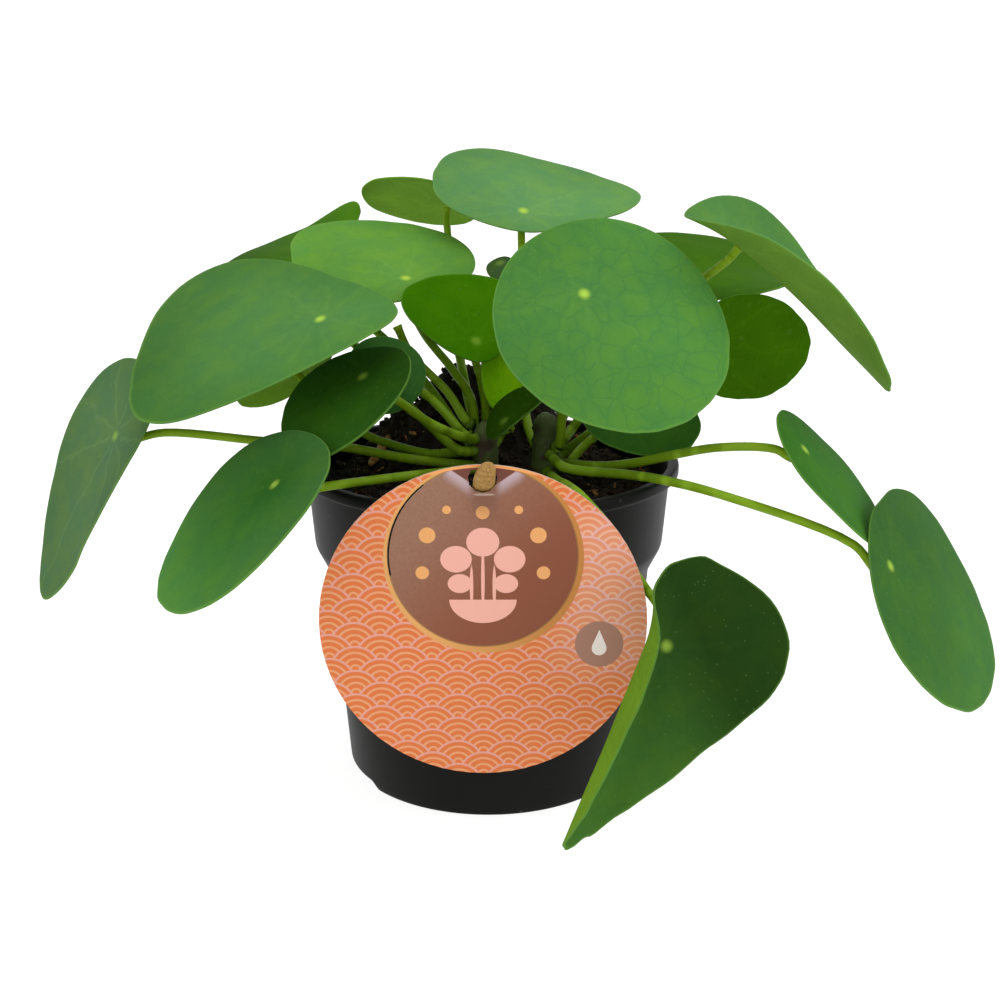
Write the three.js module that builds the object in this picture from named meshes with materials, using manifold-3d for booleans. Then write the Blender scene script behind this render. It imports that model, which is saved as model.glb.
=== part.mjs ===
// A chinese money plant in a round nursery pot, with a hanging card label on a wooden stick.
// Millimetres, +Z up. The origin is on the pot's axis, at the plane that the pot stands on.
// -Y is the side that the label hangs on.
import * as THREE from 'three';
import Module from 'manifold-3d';

const manifold = await Module();
manifold.setup();

const gap = 0.3;
const degree = Math.PI / 180;

// Pot
const potHeight = 102;
const potWall = 1.2;
const potFloor = 1.5;
const baseRadius = 46;
const baseRounding = 1.5;
const bodyTopRadius = 51.4;
const bodyTopHeight = 68;
const shoulderRadius = 55.4;
const shoulderHeight = 76;
const bandTopRadius = 57.2;
const lipHeight = 4;
const lipRadius = 60;
const potSides = 56;
const holeCount = 6;
const holeRadius = 3.5;
const holeCircle = 34;
const notchHeight = 2.8;
const notchInnerRadius = 30;
const notchHalfWidth = 24;
const notchAzimuths = [-165, 15];

// Soil
const soilEdgeHeight = 94;
const soilSides = 32;
const soilRings = 8;
const heaps = [
  { centre: [-10, 36], spread: 22, height: 33 },
  { centre: [19, 39], spread: 13, height: 17 },
];
const crumbHeight = 0.9;

// Stems
const stemRadius = 4.4;
const stemSides = 12;
const stemFoot = 66;
const stems = [
  { x: -1, y: 2, top: 113 },
  { x: 18, y: 1, top: 116 },
];

// Blades and stalks
const bladeThickness = 0.8;
const plainTaper = -0.06;
const smallLeaf = 30;
const smallBlade = { sides: 16, rings: [0.55, 1] };
const largeBlade = { sides: 24, rings: [0.36, 0.7, 1] };
const rolledBlade = { sides: 36, rings: [0.2, 0.4, 0.6, 0.8, 1] };
const stalkSides = 6;
const stalkSteps = 10;
const stalkRadii = [1.7, 1.3];
const stalkApproach = 4;

// Label
const labelRadius = 46.5;
const labelThickness = 0.7;
const labelCentre = [-1.2, 68.8];
const labelSides = 72;
const discRadius = 26.5;
const discCentre = 88.6;
const slotHalfWidth = 3.2;
const slotStrip = 1.4;
const slotLow = 107.1;
const cutWidth = 0.5;
const cutFrom = 128;
const cutTo = 192;

// Stick
const stickWidth = 7;
const stickThickness = 3.2;
const stickLean = 40;
const stickCrossing = 110.5;
const stickAbove = 9;
const stickBelow = 58;
const stickSides = 16;

// Bark chip, lying on the slope of the soil from its lower end to its upper end
const chipFoot = [-38.5, 10];
const chipHead = [-33, 26];
const chipWidth = 3.2;
const chipThickness = 1.4;
const chipClear = 1.2;

// Stalk that has lost its blade: stem, height on the stem, and points up to the cut
const cutStalk = { stem: 0, rise: 111.5, via: [[-13, 8, 121], [-25, 10, 133.5], [-29, 10.5, 142]] };

const group = new THREE.Group();

function material(colour, roughness) {
  return new THREE.MeshStandardMaterial({ color: colour, roughness, metalness: 0 });
}

function add(name, geometry, paint) {
  const mesh = new THREE.Mesh(geometry, paint);
  mesh.name = name;
  group.add(mesh);
  return mesh;
}

function geometryFrom(points, faces) {
  const geometry = new THREE.BufferGeometry();
  const flat = points.flatMap((p) => [p.x, p.y, p.z]);
  geometry.setAttribute('position', new THREE.Float32BufferAttribute(flat, 3));
  geometry.setIndex(faces.flat());
  geometry.computeVertexNormals();
  return geometry;
}

function toSolid(points, faces) {
  const mesh = new manifold.Mesh({
    numProp: 3,
    vertProperties: new Float32Array(points.flatMap((p) => [p.x, p.y, p.z])),
    triVerts: new Uint32Array(faces.flat()),
  });
  return new manifold.Manifold(mesh);
}

function fromSolid(solid) {
  const mesh = solid.getMesh();
  const geometry = new THREE.BufferGeometry();
  const positions = [];
  for (let i = 0; i < mesh.vertProperties.length; i += mesh.numProp) {
    positions.push(mesh.vertProperties[i], mesh.vertProperties[i + 1], mesh.vertProperties[i + 2]);
  }
  geometry.setAttribute('position', new THREE.Float32BufferAttribute(positions, 3));
  geometry.setIndex(Array.from(mesh.triVerts));
  geometry.computeVertexNormals();
  return geometry;
}

// A body made of rings of equal size, closed by a point at each end.
function ringBody(rings, first, last) {
  const sides = rings[0].length;
  const points = [first, ...rings.flat(), last];
  const faces = [];
  const at = (ring, side) => 1 + ring * sides + (side % sides);
  for (let side = 0; side < sides; side += 1) {
    faces.push([0, at(0, side + 1), at(0, side)]);
    for (let ring = 0; ring + 1 < rings.length; ring += 1) {
      faces.push([at(ring, side), at(ring, side + 1), at(ring + 1, side + 1)]);
      faces.push([at(ring, side), at(ring + 1, side + 1), at(ring + 1, side)]);
    }
    faces.push([points.length - 1, at(rings.length - 1, side), at(rings.length - 1, side + 1)]);
  }
  return { points, faces };
}

// A profile of [radius, height] pairs turned about the vertical through x, y.
function turned(profile, sides, x = 0, y = 0) {
  const rings = profile.slice(1, -1).map(([radius, height]) => {
    const ring = [];
    for (let side = 0; side < sides; side += 1) {
      const angle = (side / sides) * 2 * Math.PI;
      ring.push(new THREE.Vector3(x + radius * Math.cos(angle), y + radius * Math.sin(angle), height));
    }
    return ring;
  });
  const first = new THREE.Vector3(x, y, profile[0][1]);
  const last = new THREE.Vector3(x, y, profile[profile.length - 1][1]);
  return ringBody(rings, first, last);
}

function solidOf(body) {
  return toSolid(body.points, body.faces);
}

// Pot: outside and inside profiles from the floor up
const lipFoot = potHeight - lipHeight;
const potOutside = [
  [0, 0],
  [baseRadius - baseRounding, 0],
  [baseRadius - baseRounding * 0.3, baseRounding * 0.3],
  [baseRadius, baseRounding],
  [bodyTopRadius, bodyTopHeight],
  [bodyTopRadius + 0.7, bodyTopHeight + 2],
  [bodyTopRadius + 2.2, bodyTopHeight + 4.4],
  [shoulderRadius - 0.5, shoulderHeight - 1.6],
  [shoulderRadius, shoulderHeight],
  [bandTopRadius, lipFoot],
  [lipRadius - 0.5, lipFoot + 0.2],
  [lipRadius, lipFoot + 0.8],
  [lipRadius, potHeight - 0.8],
  [lipRadius - 0.8, potHeight],
  [0, potHeight],
];
function potInside(clearance, floor) {
  const inset = potWall + clearance;
  return [
    [0, floor],
    [baseRadius - inset, floor],
    [bodyTopRadius - inset, bodyTopHeight],
    [bodyTopRadius - inset + 0.7, bodyTopHeight + 2.5],
    [bodyTopRadius - inset + 2.2, bodyTopHeight + 5],
    [shoulderRadius - inset, shoulderHeight + 0.6],
    [bandTopRadius - inset, potHeight + 2],
    [0, potHeight + 2],
  ];
}

// Raised bays in the rim of the base, where water runs out
function drainBays(height, grow) {
  let bays = null;
  for (const azimuth of notchAzimuths) {
    const half = notchHalfWidth * degree + grow / baseRadius;
    const inner = notchInnerRadius - grow;
    const outer = baseRadius + 12;
    const steps = 8;
    const lower = [];
    for (let step = 0; step <= steps; step += 1) {
      const angle = azimuth * degree - half + (2 * half * step) / steps;
      lower.push([outer * Math.cos(angle), outer * Math.sin(angle)]);
    }
    for (let step = steps; step >= 0; step -= 1) {
      const angle = azimuth * degree - half + (2 * half * step) / steps;
      lower.push([inner * Math.cos(angle), inner * Math.sin(angle)]);
    }
    const centreX = ((inner + outer) / 2) * Math.cos(azimuth * degree);
    const centreY = ((inner + outer) / 2) * Math.sin(azimuth * degree);
    const shrink = 0.93;
    const ringLow = lower.map(([x, y]) => new THREE.Vector3(x, y, -5));
    const ringBase = lower.map(([x, y]) => new THREE.Vector3(x, y, 0));
    const ringTop = lower.map(([x, y]) => new THREE.Vector3(
      centreX + (x - centreX) * shrink,
      centreY + (y - centreY) * shrink,
      height,
    ));
    const body = ringBody(
      [ringLow, ringBase, ringTop],
      new THREE.Vector3(centreX, centreY, -5),
      new THREE.Vector3(centreX, centreY, height),
    );
    const bay = solidOf(body);
    bays = bays ? bays.add(bay) : bay;
  }
  return bays;
}

let pot = solidOf(turned(potOutside, potSides));
pot = pot.subtract(drainBays(notchHeight, 0));
let cavity = solidOf(turned(potInside(0, potFloor), potSides));
cavity = cavity.subtract(drainBays(notchHeight + potFloor, potFloor));
pot = pot.subtract(cavity);
for (let hole = 0; hole < holeCount; hole += 1) {
  const angle = ((hole + 0.25) / holeCount) * 2 * Math.PI;
  const drill = turned(
    [[0, -3], [holeRadius, -3], [holeRadius, 9], [0, 9]],
    20,
    holeCircle * Math.cos(angle),
    holeCircle * Math.sin(angle),
  );
  pot = pot.subtract(solidOf(drill));
}
add('pot', fromSolid(pot), material(0x2b2d2c, 0.55));

// Stems: short and ringed with old leaf scars, standing in plain holes
function stemProfile(stem, grow, top) {
  const radius = stemRadius + grow;
  const profile = [[0, stemFoot - grow], [radius * 0.7, stemFoot - grow], [radius * 0.9, stemFoot + 3]];
  const scars = 7;
  for (let scar = 0; scar <= scars; scar += 1) {
    const height = stemFoot + 6 + ((top - 5 - stemFoot - 6) * scar) / scars;
    const swell = grow > 0 ? 0 : (scar % 2) * -0.35;
    profile.push([radius + swell, height]);
  }
  profile.push([radius * 0.8, top - 1.5]);
  profile.push([radius * 0.4, top]);
  profile.push([0, top]);
  return profile;
}
stems.forEach((stem, index) => {
  const body = turned(stemProfile(stem, 0, stem.top), stemSides, stem.x, stem.y);
  add(`stem_${index + 1}`, geometryFrom(body.points, body.faces), material(0x6f6a3a, 0.75));
});

// Stick: an oval rod with a rounded end, leaning out over the lip
function stickBody(grow, above, below) {
  const lean = stickLean * degree;
  const along = new THREE.Vector3(0, -Math.sin(lean), Math.cos(lean));
  const across = new THREE.Vector3(1, 0, 0);
  const through = new THREE.Vector3(0, Math.cos(lean), Math.sin(lean));
  const centre = new THREE.Vector3(labelCentre[0], -(lipRadius + gap + labelThickness / 2), stickCrossing);
  const stations = [
    [-below, 0.86],
    [-below + 1, 1],
    [above - 3.5, 1],
    [above - 1.8, 0.9],
    [above - 0.6, 0.66],
    [above - 0.1, 0.36],
  ];
  const rings = stations.map(([distance, scale]) => {
    const ring = [];
    for (let side = 0; side < stickSides; side += 1) {
      const angle = (side / stickSides) * 2 * Math.PI;
      ring.push(centre.clone()
        .addScaledVector(along, distance)
        .addScaledVector(across, Math.cos(angle) * (stickWidth / 2 + grow) * scale)
        .addScaledVector(through, -Math.sin(angle) * (stickThickness / 2 + grow) * scale));
    }
    return ring.reverse();
  });
  const first = centre.clone().addScaledVector(along, -below - grow);
  const last = centre.clone().addScaledVector(along, above);
  return ringBody(rings, first, last);
}
const stick = stickBody(0, stickAbove, stickBelow);
add('label_stick', geometryFrom(stick.points, stick.faces), material(0xc0954f, 0.7));

// Soil: fills the pot to below the lip, heaped behind the stems
function soilHeight(x, y) {
  const edge = Math.hypot(x, y) / (bandTopRadius - potWall);
  let heap = 0;
  for (const { centre, spread, height } of heaps) {
    const away = Math.hypot(x - centre[0], y - centre[1]) / spread;
    heap += height * Math.exp(-away * away) * Math.max(0, 1 - edge ** 6);
  }
  const crumbs = Math.sin(x * 0.55 + 1.3) * Math.cos(y * 0.47 - 0.4) + 0.6 * Math.sin((x - y) * 0.83);
  const fade = Math.max(0, 1 - edge ** 4);
  return soilEdgeHeight + heap + crumbHeight * crumbs * fade;
}
const soilProfile = potInside(gap, potFloor + gap).filter(([, height]) => height < soilEdgeHeight);
const slope = (bandTopRadius - shoulderRadius) / (potHeight + 1.4 - shoulderHeight);
const soilRadius = shoulderRadius - potWall - gap + slope * (soilEdgeHeight - shoulderHeight) - 0.1;
const soilLower = soilProfile.slice(1).map(([radius, height]) => {
  const ring = [];
  for (let side = 0; side < soilSides; side += 1) {
    const angle = (side / soilSides) * 2 * Math.PI;
    ring.push(new THREE.Vector3(radius * Math.cos(angle), radius * Math.sin(angle), height));
  }
  return ring;
});
const soilUpper = [];
for (let step = soilRings; step > 0; step -= 1) {
  const radius = (soilRadius * step) / soilRings;
  const ring = [];
  for (let side = 0; side < soilSides; side += 1) {
    const angle = (side / soilSides) * 2 * Math.PI;
    const x = radius * Math.cos(angle);
    const y = radius * Math.sin(angle);
    ring.push(new THREE.Vector3(x, y, soilHeight(x, y)));
  }
  soilUpper.push(ring);
}
const soilBody = ringBody(
  [...soilLower, ...soilUpper],
  new THREE.Vector3(0, 0, potFloor + gap),
  new THREE.Vector3(0, 0, soilHeight(0, 0)),
);
let soil = solidOf(soilBody);
soil = soil.subtract(drainBays(notchHeight + potFloor + gap, potFloor + gap));
for (const stem of stems) {
  soil = soil.subtract(solidOf(turned(stemProfile(stem, gap, stem.top + 20), stemSides, stem.x, stem.y)));
}
soil = soil.subtract(solidOf(stickBody(gap, stickAbove, stickBelow)));
add('soil', fromSolid(soil), material(0x1c1510, 0.95));

// Label: a round card with a small round slot for the stick and a fine cut beside the inner disc
function circlePoints(x, z, radius, from, to, steps) {
  const points = [];
  for (let step = 0; step <= steps; step += 1) {
    const angle = (from + ((to - from) * step) / steps) * degree;
    points.push([x + radius * Math.cos(angle), z + radius * Math.sin(angle)]);
  }
  return points;
}
function pathOf(points, Kind) {
  const path = new Kind();
  points.forEach(([x, z], index) => {
    if (index === 0) path.moveTo(x, z);
    else path.lineTo(x, z);
  });
  path.closePath();
  return path;
}
const labelShape = pathOf(
  circlePoints(labelCentre[0], labelCentre[1], labelRadius, 0, 360 - 360 / labelSides, labelSides - 1),
  THREE.Shape,
);
const stripRadius = labelRadius - slotStrip;
const slotEdge = Math.asin(slotHalfWidth / stripRadius) / degree;
const slotEndZ = labelCentre[1] + stripRadius * Math.cos(slotEdge * degree);
const slotDrop = slotEndZ - slotLow;
const slotArc = (slotHalfWidth ** 2 + slotDrop ** 2) / (2 * slotDrop);
const slotArcAngle = Math.atan2(slotHalfWidth, slotArc - slotDrop) / degree;
const slotTop = circlePoints(labelCentre[0], labelCentre[1], stripRadius, 90 - slotEdge, 90 + slotEdge, 8);
const slotBottom = circlePoints(
  labelCentre[0],
  slotLow + slotArc,
  slotArc,
  270 - slotArcAngle,
  270 + slotArcAngle,
  8,
);
labelShape.holes.push(pathOf([...slotTop, ...slotBottom.slice(1, -1)], THREE.Path));
const cutOuter = circlePoints(labelCentre[0], discCentre, discRadius + cutWidth / 2, cutFrom, cutTo, 12);
const cutInner = circlePoints(labelCentre[0], discCentre, discRadius - cutWidth / 2, cutTo, cutFrom, 12);
labelShape.holes.push(pathOf([...cutOuter, ...cutInner], THREE.Path));
const label = new THREE.ExtrudeGeometry(labelShape, { depth: labelThickness, bevelEnabled: false });
label.rotateX(Math.PI / 2);
label.translate(0, -(lipRadius + gap), 0);
add('label_card', label, material(0xdc8a5c, 0.45));

// Leaves. hub: where the stalk meets the blade. face: azimuth and elevation of the upper face, degrees.
// spin: turn of the tip from straight downhill, degrees, seen from above. size: length and width.
// foot: share of the length behind the hub. bend: direction in the blade that it bends along, from
// the tip, then the bend of its two sides, degrees, down positive, and how far out the bend reaches.
// arch: bend across that, degrees, one value or one for each side. wave: height, count and phase of the
// margin's waves. lobes: swellings of the outline, each with its middle and reach, degrees from the tip,
// and its share of the radius. rolled: share of the width, and taper, of a side that is rolled in.
// unroll: share of the roll left behind the hub, and the distances over which it is lost. stem, rise: which
// stem, and at what height the stalk leaves it. via: points on the stalk. stalk: its radius at the stem and
// at the blade.
const leaves = [
  // Left, from the front to the back
  { name: '01', hub: [-50, -15, 148], face: [-124, 62], spin: -75, size: [86, 68], foot: 0.29, taper: 0.52,
    bend: [90, 10, 0, 40], arch: 5, wave: [0.6, 3, 0],
    lobes: [[-35, 32, 0.25], [-105, 38, -0.17], [70, 40, 0.05]], stem: 0, rise: 104,
    via: [[-10, -4, 105.5], [-18, -1, 112], [-28, 2, 121], [-38, 4, 133], [-44, -2, 140.5]] },
  { name: '02', hub: [-116.6, -4.3, 109.6], face: [-141, 26], spin: -24, size: [83, 51], foot: 0.28,
    taper: -0.15, bend: [90, -30, 0, 35], arch: 8, wave: [0.5, 4, 40],
    lobes: [[-120, 34, 0.32], [145, 32, -0.15], [18, 24, 0.05]], stem: 0, rise: 99,
    via: [[-26, -6, 103], [-44, -12, 108], [-69, -12, 110], [-100, -9, 112]] },
  { name: '03', hub: [-59.6, -53, 107.3], face: [-151, 50], spin: -15, size: [65, 63], foot: 0.28,
    bend: [90, 0, -5, 30], arch: 8, wave: [0.5, 3, 90], stem: 0, rise: 98.5,
    via: [[-15, -16, 101], [-26, -32, 104], [-46, -48, 105.5]] },
  { name: '04', hub: [-37, -22, 132], face: [-136, 54], spin: 4, size: [46, 43], foot: 0.29,
    bend: [90, -10, -10, 25], arch: 5, wave: [0.3, 3, 0], stem: 0, rise: 108,
    via: [[-17, -11.5, 115], [-28, -16, 124]] },
  { name: '05', hub: [-30, -4, 133], face: [-80, 34], spin: -30, size: [26, 25], foot: 0.32,
    bend: [90, 0, 0, 15], arch: 5, wave: [0.2, 3, 0], stem: 0, rise: 108.3,
    via: [[-17, 1, 119.5]] },
  { name: '06', hub: [-70, 84, 158.6], face: [-152, 71], spin: 15, size: [72, 56], foot: 0.44,
    bend: [180, -14, 10, 20], arch: 5, wave: [0.5, 3, 0],
    lobes: [[135, 32, -0.2], [-135, 26, -0.23], [-78, 30, 0.16], [-172, 12, 0.06]], stem: 0, rise: 105,
    via: [[-19, 14, 121], [-29, 22, 131], [-38, 33, 137], [-61, 68, 149]] },
  { name: '07', hub: [-27, 25, 155], face: [-77, 69], spin: -156, size: [65, 66], foot: 0.2, taper: -0.1,
    bend: [90, 5, 5, 30], arch: 5, wave: [0.4, 3, 0], lobes: [[65, 30, -0.12]], stem: 0, rise: 108.5,
    via: [[-6, 11, 119], [-12, 13, 128], [-21, 16, 139]] },
  { name: '08', hub: [-4, 5, 138], face: [-67, 41], spin: 180, size: [34, 38], foot: 0.22, taper: 0.4,
    bend: [90, 5, 5, 30], arch: 5, wave: [0.3, 3, 0], stem: 0, rise: 110,
    via: [[-1, 8.6, 116], [-2.5, 9.5, 125]] },
  { name: '09', hub: [-15, 92, 173.5], face: [68, 59], spin: 108, size: [43, 39], foot: 0.25,
    bend: [90, 5, 5, 30], arch: 5, wave: [0.3, 3, 0], stem: 0, rise: 103.5,
    via: [[-9, 25, 126], [-13, 50, 145], [-15, 78, 163]] },
  { name: '10', hub: [-63, 15, 129], face: [136, 52], spin: 0, size: [37, 33], foot: 0.3,
    bend: [90, 5, 5, 30], arch: 5, wave: [0.3, 3, 0], stem: 0, rise: 103,
    via: [[-12, 3, 102.5], [-19, 2, 102.5], [-31, 4, 105], [-40, 5, 108.5]] },
  // Top and middle
  { name: '11', hub: [11.5, 55, 174], face: [-77, 58], spin: 160, size: [62, 74], foot: 0.22, taper: -0.05,
    bend: [0, 20, 5, 45], arch: 5, wave: [0.6, 3, 0],
    lobes: [[-138, 36, -0.45], [170, 25, -0.06], [100, 40, -0.09], [-72, 20, 0.14], [0, 30, -0.08],
      [45, 30, 0.05]], stem: 1, rise: 104,
    via: [[12, 12, 112], [12, 30, 138], [11, 45, 159]] },
  { name: '12', hub: [28, -25, 157], face: [-78, 40], spin: 43, size: [72, 70], foot: 0.33,
    bend: [90, 8, 8, 35], arch: 8, wave: [0.5, 4, 0], stem: 1, rise: 106,
    via: [[23, -5, 119], [27, -10, 140]] },
  { name: '13', hub: [3.7, 41, 158], face: [-116, 62], spin: 30, size: [13, 10], foot: 0.3,
    bend: [90, 5, 5, 30], arch: 5, wave: [0.2, 3, 0], stem: 0, rise: 104,
    via: [[6, 12, 112], [5, 28, 134]], stalk: [1.2, 0.9] },
  { name: '14', hub: [5, 7, 119], face: [-60, 12], spin: 180, size: [24, 16], foot: 0.2,
    bend: [90, -20, -20, 10], arch: 5, wave: [0.1, 3, 0], stem: 0, rise: 108,
    via: [[3, 10, 113]], stalk: [1, 0.8] },
  { name: '15', hub: [5, -7, 115], face: [-150, 45], spin: 160, size: [24, 18], foot: 0.3,
    bend: [90, -30, -30, 10], arch: 5, wave: [0.1, 3, 0], stem: 0, rise: 109,
    via: [[3, -5, 111]], stalk: [1, 0.8] },
  // Right, from the back to the front
  { name: '16', hub: [64, 48, 155], face: [-50, 70], spin: 100, size: [84, 58], foot: 0.3,
    bend: [90, 5, -12, 30], arch: 5, wave: [0.5, 3, 0], stem: 1, rise: 110.5,
    via: [[30, 14, 125], [50, 34, 142]] },
  { name: '17', hub: [73, 28.2, 133], face: [97, 12], spin: -85, size: [41, 37.5], foot: 0.18,
    bend: [90, 5, 5, 30], arch: 5, wave: [0.3, 5, 0], stem: 1, rise: 101,
    via: [[36, 16, 108], [52, 21, 117], [65, 23.5, 125.3]] },
  { name: '18', hub: [76.5, 0, 168], face: [0, 53], spin: 0, size: [85, 62], foot: 0.23, taper: -0.2,
    bend: [94, -47, -20, 20], arch: [28, 8], wave: [0.3, 3, 0], lobes: [[38, 24, 0.16], [86, 24, -0.07]],
    stem: 1, rise: 105.3, via: [[28, 8, 111], [38, 19, 124], [52, 15, 144], [67.5, 2, 159]] },
  { name: '19', hub: [41, 0, 118], face: [-84, 60], spin: 60, size: [38, 35], foot: 0.3,
    bend: [90, 5, 5, 30], arch: 5, wave: [0.3, 3, 0], stem: 1, rise: 98,
    via: [[30, 1, 105]] },
  { name: '20', hub: [91.8, -38, 113.7], face: [-23, 43], spin: 36, size: [50, 42], foot: 0.24,
    bend: [90, 5, 5, 30], arch: 5, wave: [0.3, 3, 0],
    lobes: [[180, 40, -0.05], [-65, 40, 0.12], [80, 40, -0.06]], stem: 1, rise: 100.5,
    via: [[34, -12, 102], [44, -20, 105], [57, -24, 109], [69, -28, 112], [84, -34, 113]] },
  { name: '21', hub: [115.8, -50, 82.2], face: [-35, 32], spin: 46, size: [73, 67], foot: 0.14, taper: -0.15,
    bend: [90, 5, 5, 30], arch: 5, wave: [0.4, 3, 0],
    lobes: [[92, 30, 0.22], [48, 20, 0.05], [140, 16, -0.07], [-110, 40, -0.03]], stem: 1, rise: 103.5,
    via: [[24, -18, 103], [43, -32, 104.5], [52, -38, 104.5], [67, -44, 102], [106, -46, 87.5]] },
  { name: '22', hub: [49, -76, 68], face: [-80, 20], spin: -32, size: [90, 50], foot: 0.32, taper: -0.8,
    rolled: [0.75, -0.2], unroll: [0.35, -2, 22], bend: [96, -5, -100, 12], arch: 5, wave: [0.6, 7, 0],
    lobes: [[-170, 22, -0.05], [-135, 26, -0.14]], stem: 1, rise: 98,
    via: [[21, -22, 100], [23, -42, 104], [27, -55.5, 104], [34, -56.5, 96], [39, -57.2, 87],
      [45, -57.2, 78], [48.5, -60.5, 73.5]] },
];

function leafAxes(leaf) {
  const [azimuth, elevation] = leaf.face.map((angle) => angle * degree);
  const normal = new THREE.Vector3(
    Math.cos(elevation) * Math.cos(azimuth),
    Math.cos(elevation) * Math.sin(azimuth),
    Math.sin(elevation),
  );
  const downhill = new THREE.Vector3(0, 0, -1).addScaledVector(normal, normal.z).normalize();
  const level = new THREE.Vector3().crossVectors(normal, downhill);
  const spin = leaf.spin * degree;
  const tip = downhill.clone().multiplyScalar(Math.cos(spin)).addScaledVector(level, Math.sin(spin));
  const side = new THREE.Vector3().crossVectors(normal, tip);
  return { tip, side, normal };
}

// How far a point at a distance has moved along and down, on a bend of this angle spread over a zone
function bent(distance, angle, zone) {
  if (Math.abs(angle) < 0.001) return [distance, 0];
  const far = Math.abs(distance);
  const curvature = angle / zone;
  const curved = Math.min(far, zone);
  const straight = far - curved;
  const along = Math.sin(curved * curvature) / curvature + straight * Math.cos(angle);
  const down = (1 - Math.cos(curved * curvature)) / curvature + straight * Math.sin(angle);
  return [Math.sign(distance) * along, down];
}

// The outline's radius at an angle, as a share of the plain oval's
function lobeSwell(leaf, angle) {
  let swell = 1;
  for (const [middle, reach, amount] of leaf.lobes ?? []) {
    const away = THREE.MathUtils.euclideanModulo(angle / degree - middle + 180, 360) - 180;
    swell += amount * Math.exp(-((away / reach) ** 2));
  }
  return swell;
}

// Share of the roll at a distance along it
function rollLeft(leaf, distance) {
  if (!leaf.unroll) return 1;
  const [share, from, to] = leaf.unroll;
  return 1 - (1 - share) * THREE.MathUtils.smoothstep(distance, from, to);
}

// Place in the blade's own axes of the point at a share of the way from the hub to the margin
function bladePoint(leaf, angle, share) {
  const [length, width] = leaf.size;
  const taper = leaf.taper ?? plainTaper;
  const [scale, slant] = Math.sin(angle) < 0 && leaf.rolled ? leaf.rolled : [1, taper];
  const centre = length * (0.5 - leaf.foot);
  const swell = share * lobeSwell(leaf, angle);
  const along = swell * (centre + (length / 2) * Math.cos(angle));
  const across = swell * (width / 2) * scale * Math.sin(angle) * Math.exp(slant * Math.cos(angle));
  const turn = leaf.bend[0] * degree;
  const s = along * Math.cos(turn) + across * Math.sin(turn);
  const t = -along * Math.sin(turn) + across * Math.cos(turn);
  const reach = (length + width) / 4;
  const bend = (s > 0 ? leaf.bend[1] : leaf.bend[2] * rollLeft(leaf, t)) * degree;
  const [s2, dropS] = bent(s, bend, leaf.bend[3]);
  const [archAhead, archBehind] = [leaf.arch].flat();
  const arch = (t > 0 ? archAhead : archBehind ?? archAhead) * degree;
  const [t2, dropT] = bent(t, arch, reach);
  const [waveHeight, waveCount, wavePhase] = leaf.wave;
  const wave = waveHeight * share * share * Math.sin(waveCount * angle + wavePhase * degree);
  return new THREE.Vector3(
    s2 * Math.cos(turn) - t2 * Math.sin(turn),
    s2 * Math.sin(turn) + t2 * Math.cos(turn),
    wave - dropS - dropT,
  );
}

function bladeNormal(leaf, angle, share) {
  const step = 0.02;
  const near = Math.max(share, 0.05);
  const radial = bladePoint(leaf, angle, near + step).sub(bladePoint(leaf, angle, near - step));
  const round = bladePoint(leaf, angle + step, near).sub(bladePoint(leaf, angle - step, near));
  return radial.cross(round).normalize();
}

function bladeDetail(leaf) {
  if (leaf.rolled) return rolledBlade;
  return leaf.size[0] < smallLeaf ? smallBlade : largeBlade;
}

function bladeGeometry(leaf, thickness) {
  const { sides, rings } = bladeDetail(leaf);
  const axes = leafAxes(leaf);
  const basis = new THREE.Matrix4().makeBasis(axes.tip, axes.side, axes.normal);
  basis.setPosition(...leaf.hub);
  const face = (lift) => {
    const points = [new THREE.Vector3(0, 0, lift)];
    for (const share of rings) {
      for (let side = 0; side < sides; side += 1) {
        const angle = (side / sides) * 2 * Math.PI;
        points.push(bladePoint(leaf, angle, share).addScaledVector(bladeNormal(leaf, angle, share), lift));
      }
    }
    return points;
  };
  const top = face(thickness / 2);
  const bottom = face(-thickness / 2);
  const count = top.length;
  const points = [...top, ...bottom].map((point) => point.applyMatrix4(basis));
  const faces = [];
  const at = (ring, side) => 1 + ring * sides + (side % sides);
  const push = (a, b, c) => {
    faces.push([a, b, c]);
    faces.push([a + count, c + count, b + count]);
  };
  const last = rings.length - 1;
  for (let side = 0; side < sides; side += 1) {
    push(0, at(0, side), at(0, side + 1));
    for (let ring = 0; ring < last; ring += 1) {
      push(at(ring, side), at(ring + 1, side), at(ring + 1, side + 1));
      push(at(ring, side), at(ring + 1, side + 1), at(ring, side + 1));
    }
    const a = at(last, side);
    const b = at(last, side + 1);
    faces.push([a, a + count, b + count]);
    faces.push([a, b + count, b]);
  }
  return geometryFrom(points, faces);
}

// A tapering tube through points, with flat closed ends
function stalkGeometry(path, footRadius, headRadius) {
  const curve = new THREE.CatmullRomCurve3(path, false, 'centripetal');
  const frames = curve.computeFrenetFrames(stalkSteps, false);
  const rings = [];
  for (let step = 0; step <= stalkSteps; step += 1) {
    const share = step / stalkSteps;
    const centre = curve.getPointAt(share);
    const radius = footRadius + (headRadius - footRadius) * Math.min(1, share * 1.6);
    const ring = [];
    for (let side = 0; side < stalkSides; side += 1) {
      const angle = (side / stalkSides) * 2 * Math.PI;
      ring.push(centre.clone()
        .addScaledVector(frames.normals[step], Math.cos(angle) * radius)
        .addScaledVector(frames.binormals[step], Math.sin(angle) * radius));
    }
    rings.push(ring);
  }
  const body = ringBody(rings, path[0].clone(), path[path.length - 1].clone());
  return geometryFrom(body.points, body.faces);
}

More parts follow.
